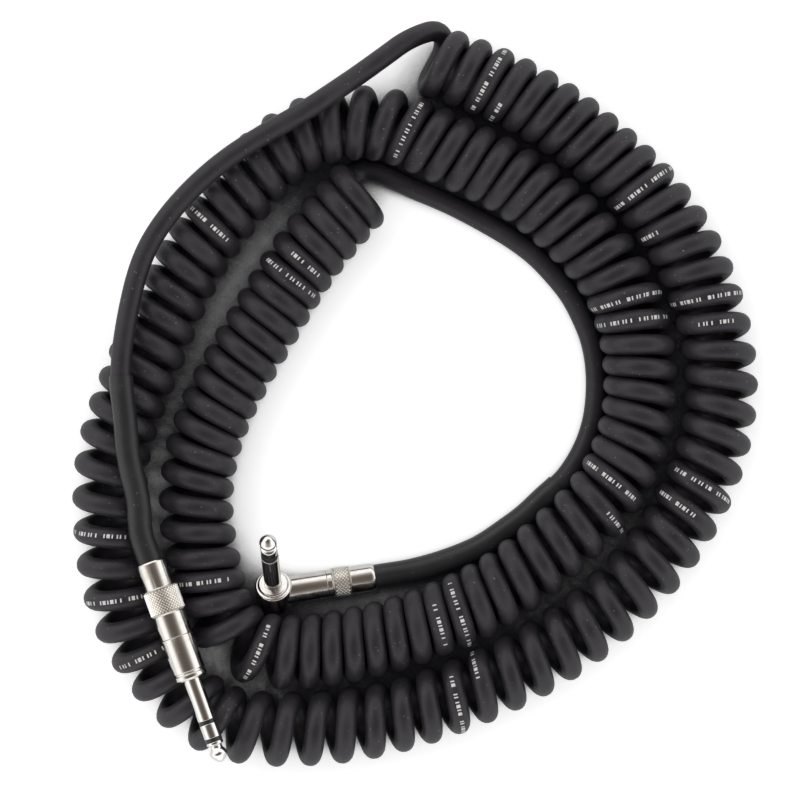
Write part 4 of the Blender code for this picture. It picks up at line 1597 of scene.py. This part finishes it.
@dataclass
class Studio:
    """The camera, the pale floor and the soft light.

    Attributes:
        centre: The place on the floor under the camera.
        height: How high the camera hangs.
        width_seen: How wide a strip of the floor it sees.
        lamp_place: Where the soft box hangs.
        lamp_size: The length of its sides.
        lamp_power: Its power, in watts.
        daylight: The strength of the sky's light.
        crevice: How near things must be for painted shade to darken the floor's own colour.
        floor_half: Half the floor's width.
        floor_drop: How far the floor lies under the cable.
    """

    centre: Point = (0.0517, 0.0891, 0.0)
    height: float = 1.0
    width_seen: float = 0.2968
    lamp_place: Point = (-0.75, 0.75, 1.15)
    lamp_size: float = 1.0
    lamp_power: float = 3.0
    daylight: float = 1.06
    crevice: float = 0.025
    floor_half: float = 6.0
    floor_drop: float = 0.0002

    def camera(self) -> None:
        """The camera straight over the cable, as in the photograph."""
        data = bpy.data.cameras.new("camera")
        data.sensor_width = 36.0
        data.lens = 36.0 * self.height / self.width_seen
        data.clip_start, data.clip_end = 0.01, 50.0
        place = (self.centre[0], self.centre[1], self.height)
        bpy.context.scene.camera = new_object("camera", data, place)

    def floor(self) -> None:
        """A wide white floor, which keeps the cable's shadow and has painted shade in its colour where the
        cable closes it in.
        """
        corners = np.array([(-1, -1, 0), (1, -1, 0), (1, 1, 0), (-1, 1, 0)]) * self.floor_half
        shades = Shades("floor")
        seen = shades.add("ShaderNodeLightPath", out="Is Camera Ray")
        paper = shades.noise(shades.at, 30, 3)
        # Painted shade: where ambient occlusion finds the cable close round it, as in the gaps between the
        # coil's passes, the floor's own colour turns near black. The glow that whitens the floor for the
        # camera is also held back near the cable.
        sockets = {"Distance": self.crevice, "Color": (1.0, 1.0, 1.0)}
        occlusion = shades.add("ShaderNodeAmbientOcclusion", {"samples": 16}, sockets, "AO")
        clear_of_painted_shade = occlusion.ramp(0.22, 0.5)
        white = shades.mix(paper, (0.93, 0.93, 0.93), (0.95, 0.95, 0.95))
        shades.set(
            Base_Color=shades.mix(clear_of_painted_shade, (0.045, 0.043, 0.05), white),
            Roughness=0.9,
            Emission_Color=shades.mix(seen * occlusion.ramp(0.36, 0.52), (0.0, 0.0, 0.0), (1.0, 1.0, 1.0)),
            Emission_Strength=0.36,
            Specular_IOR_Level=0.1,
        )
        floor = made_piece("floor", corners / MM, [(0, 1, 2, 3)], shades.material, mend=False)
        floor.location.z = -self.floor_drop
        floor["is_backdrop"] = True

    def light(self) -> None:
        """A soft box and an even sky, darker overhead where the metal mirrors the ceiling."""
        data = bpy.data.lights.new("softbox", "AREA")
        data.size, data.energy = self.lamp_size, self.lamp_power
        lamp = new_object("softbox", data, self.lamp_place)
        aim = Vector(self.centre) - lamp.location
        lamp.rotation_euler = aim.to_track_quat("-Z", "Y").to_euler()
        world = bpy.data.worlds.new("studio")
        world.use_nodes = True
        bpy.context.scene.world = world
        graph = Graph(world.node_tree)
        world.node_tree.nodes.clear()
        camera = graph.add("ShaderNodeLightPath", out="Is Camera Ray")
        glossy = graph.add("ShaderNodeLightPath", out="Is Glossy Ray")
        through = graph.add("ShaderNodeLightPath", out="Is Transmission Ray")
        way = graph.add("ShaderNodeTexCoord", out="Generated")
        rise = graph.add("ShaderNodeSeparateXYZ", None, {0: way}, "Z")
        ceiling = graph.add("ShaderNodeValToRGB", {"stops": MIRRORED_SKY}, {0: rise})
        seen = graph.mix(camera.larger(through), ceiling, (1.0, 1.0, 1.0))
        band = graph.add("ShaderNodeValToRGB", {"stops": LIGHTING_SKY}, {0: rise})
        lit = graph.add("ShaderNodeBackground", None, {0: band, 1: self.daylight})
        shine = graph.add("ShaderNodeBackground", None, {0: seen, 1: 1.0})
        straight_on = camera.larger(glossy).larger(through)
        both = graph.add("ShaderNodeMixShader", None, {0: straight_on, 1: lit, 2: shine})
        graph.add("ShaderNodeOutputWorld", None, {0: both})

    def build(self) -> None:
        """Sets the whole studio."""
        bpy.context.scene.view_settings.view_transform = "Standard"
        self.camera()
        self.floor()
        self.light()
        LOG.info("studio set")


# ---------------------------------------------------------------- main


def main() -> None:
    """Builds the studio, the cord and both plugs in order."""
    logging.basicConfig(level=logging.INFO, format="%(message)s")
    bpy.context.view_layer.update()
    Studio().build()
    straight, angled, cord = StraightPlug(), AngledPlug(), Cord()
    cord.lay(straight, angled)
    jacket = cord.jacket(JACKET.dress("jacket_rubber"))
    settle(jacket, Body.CABLE, Slot.RUBBER, ["curly_cord", "straight_lead", "angled_lead"])
    sleeving = SLEEVING.dress("sleeving")
    cord.sleeve(STRAIGHT_SLEEVE, straight.place, straight.rear, sleeving)
    cord.sleeve(ANGLED_SLEEVE, angled.barrel, angled.rear, sleeving)
    strokes = cord.marks(Ink().dress("white_ink"))
    settle(strokes, Body.CABLE)
    straight.build()
    angled.build()
    for wiring in wirings(straight, angled):
        wiring.build()
    on_cord = [piece.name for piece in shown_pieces() if piece.name.startswith("angled_")]
    on_cord += [STRAIGHT_SLEEVE.name, strokes.name]
    leaves = straight.place @ Vector((0, 0, straight.rear)) * MM
    round(cord.length(), 3)
    LOG.info("the cord is %.3f m long, with %d pieces on it", cord.length(), len(on_cord))


if __name__ == "__main__":
    main()
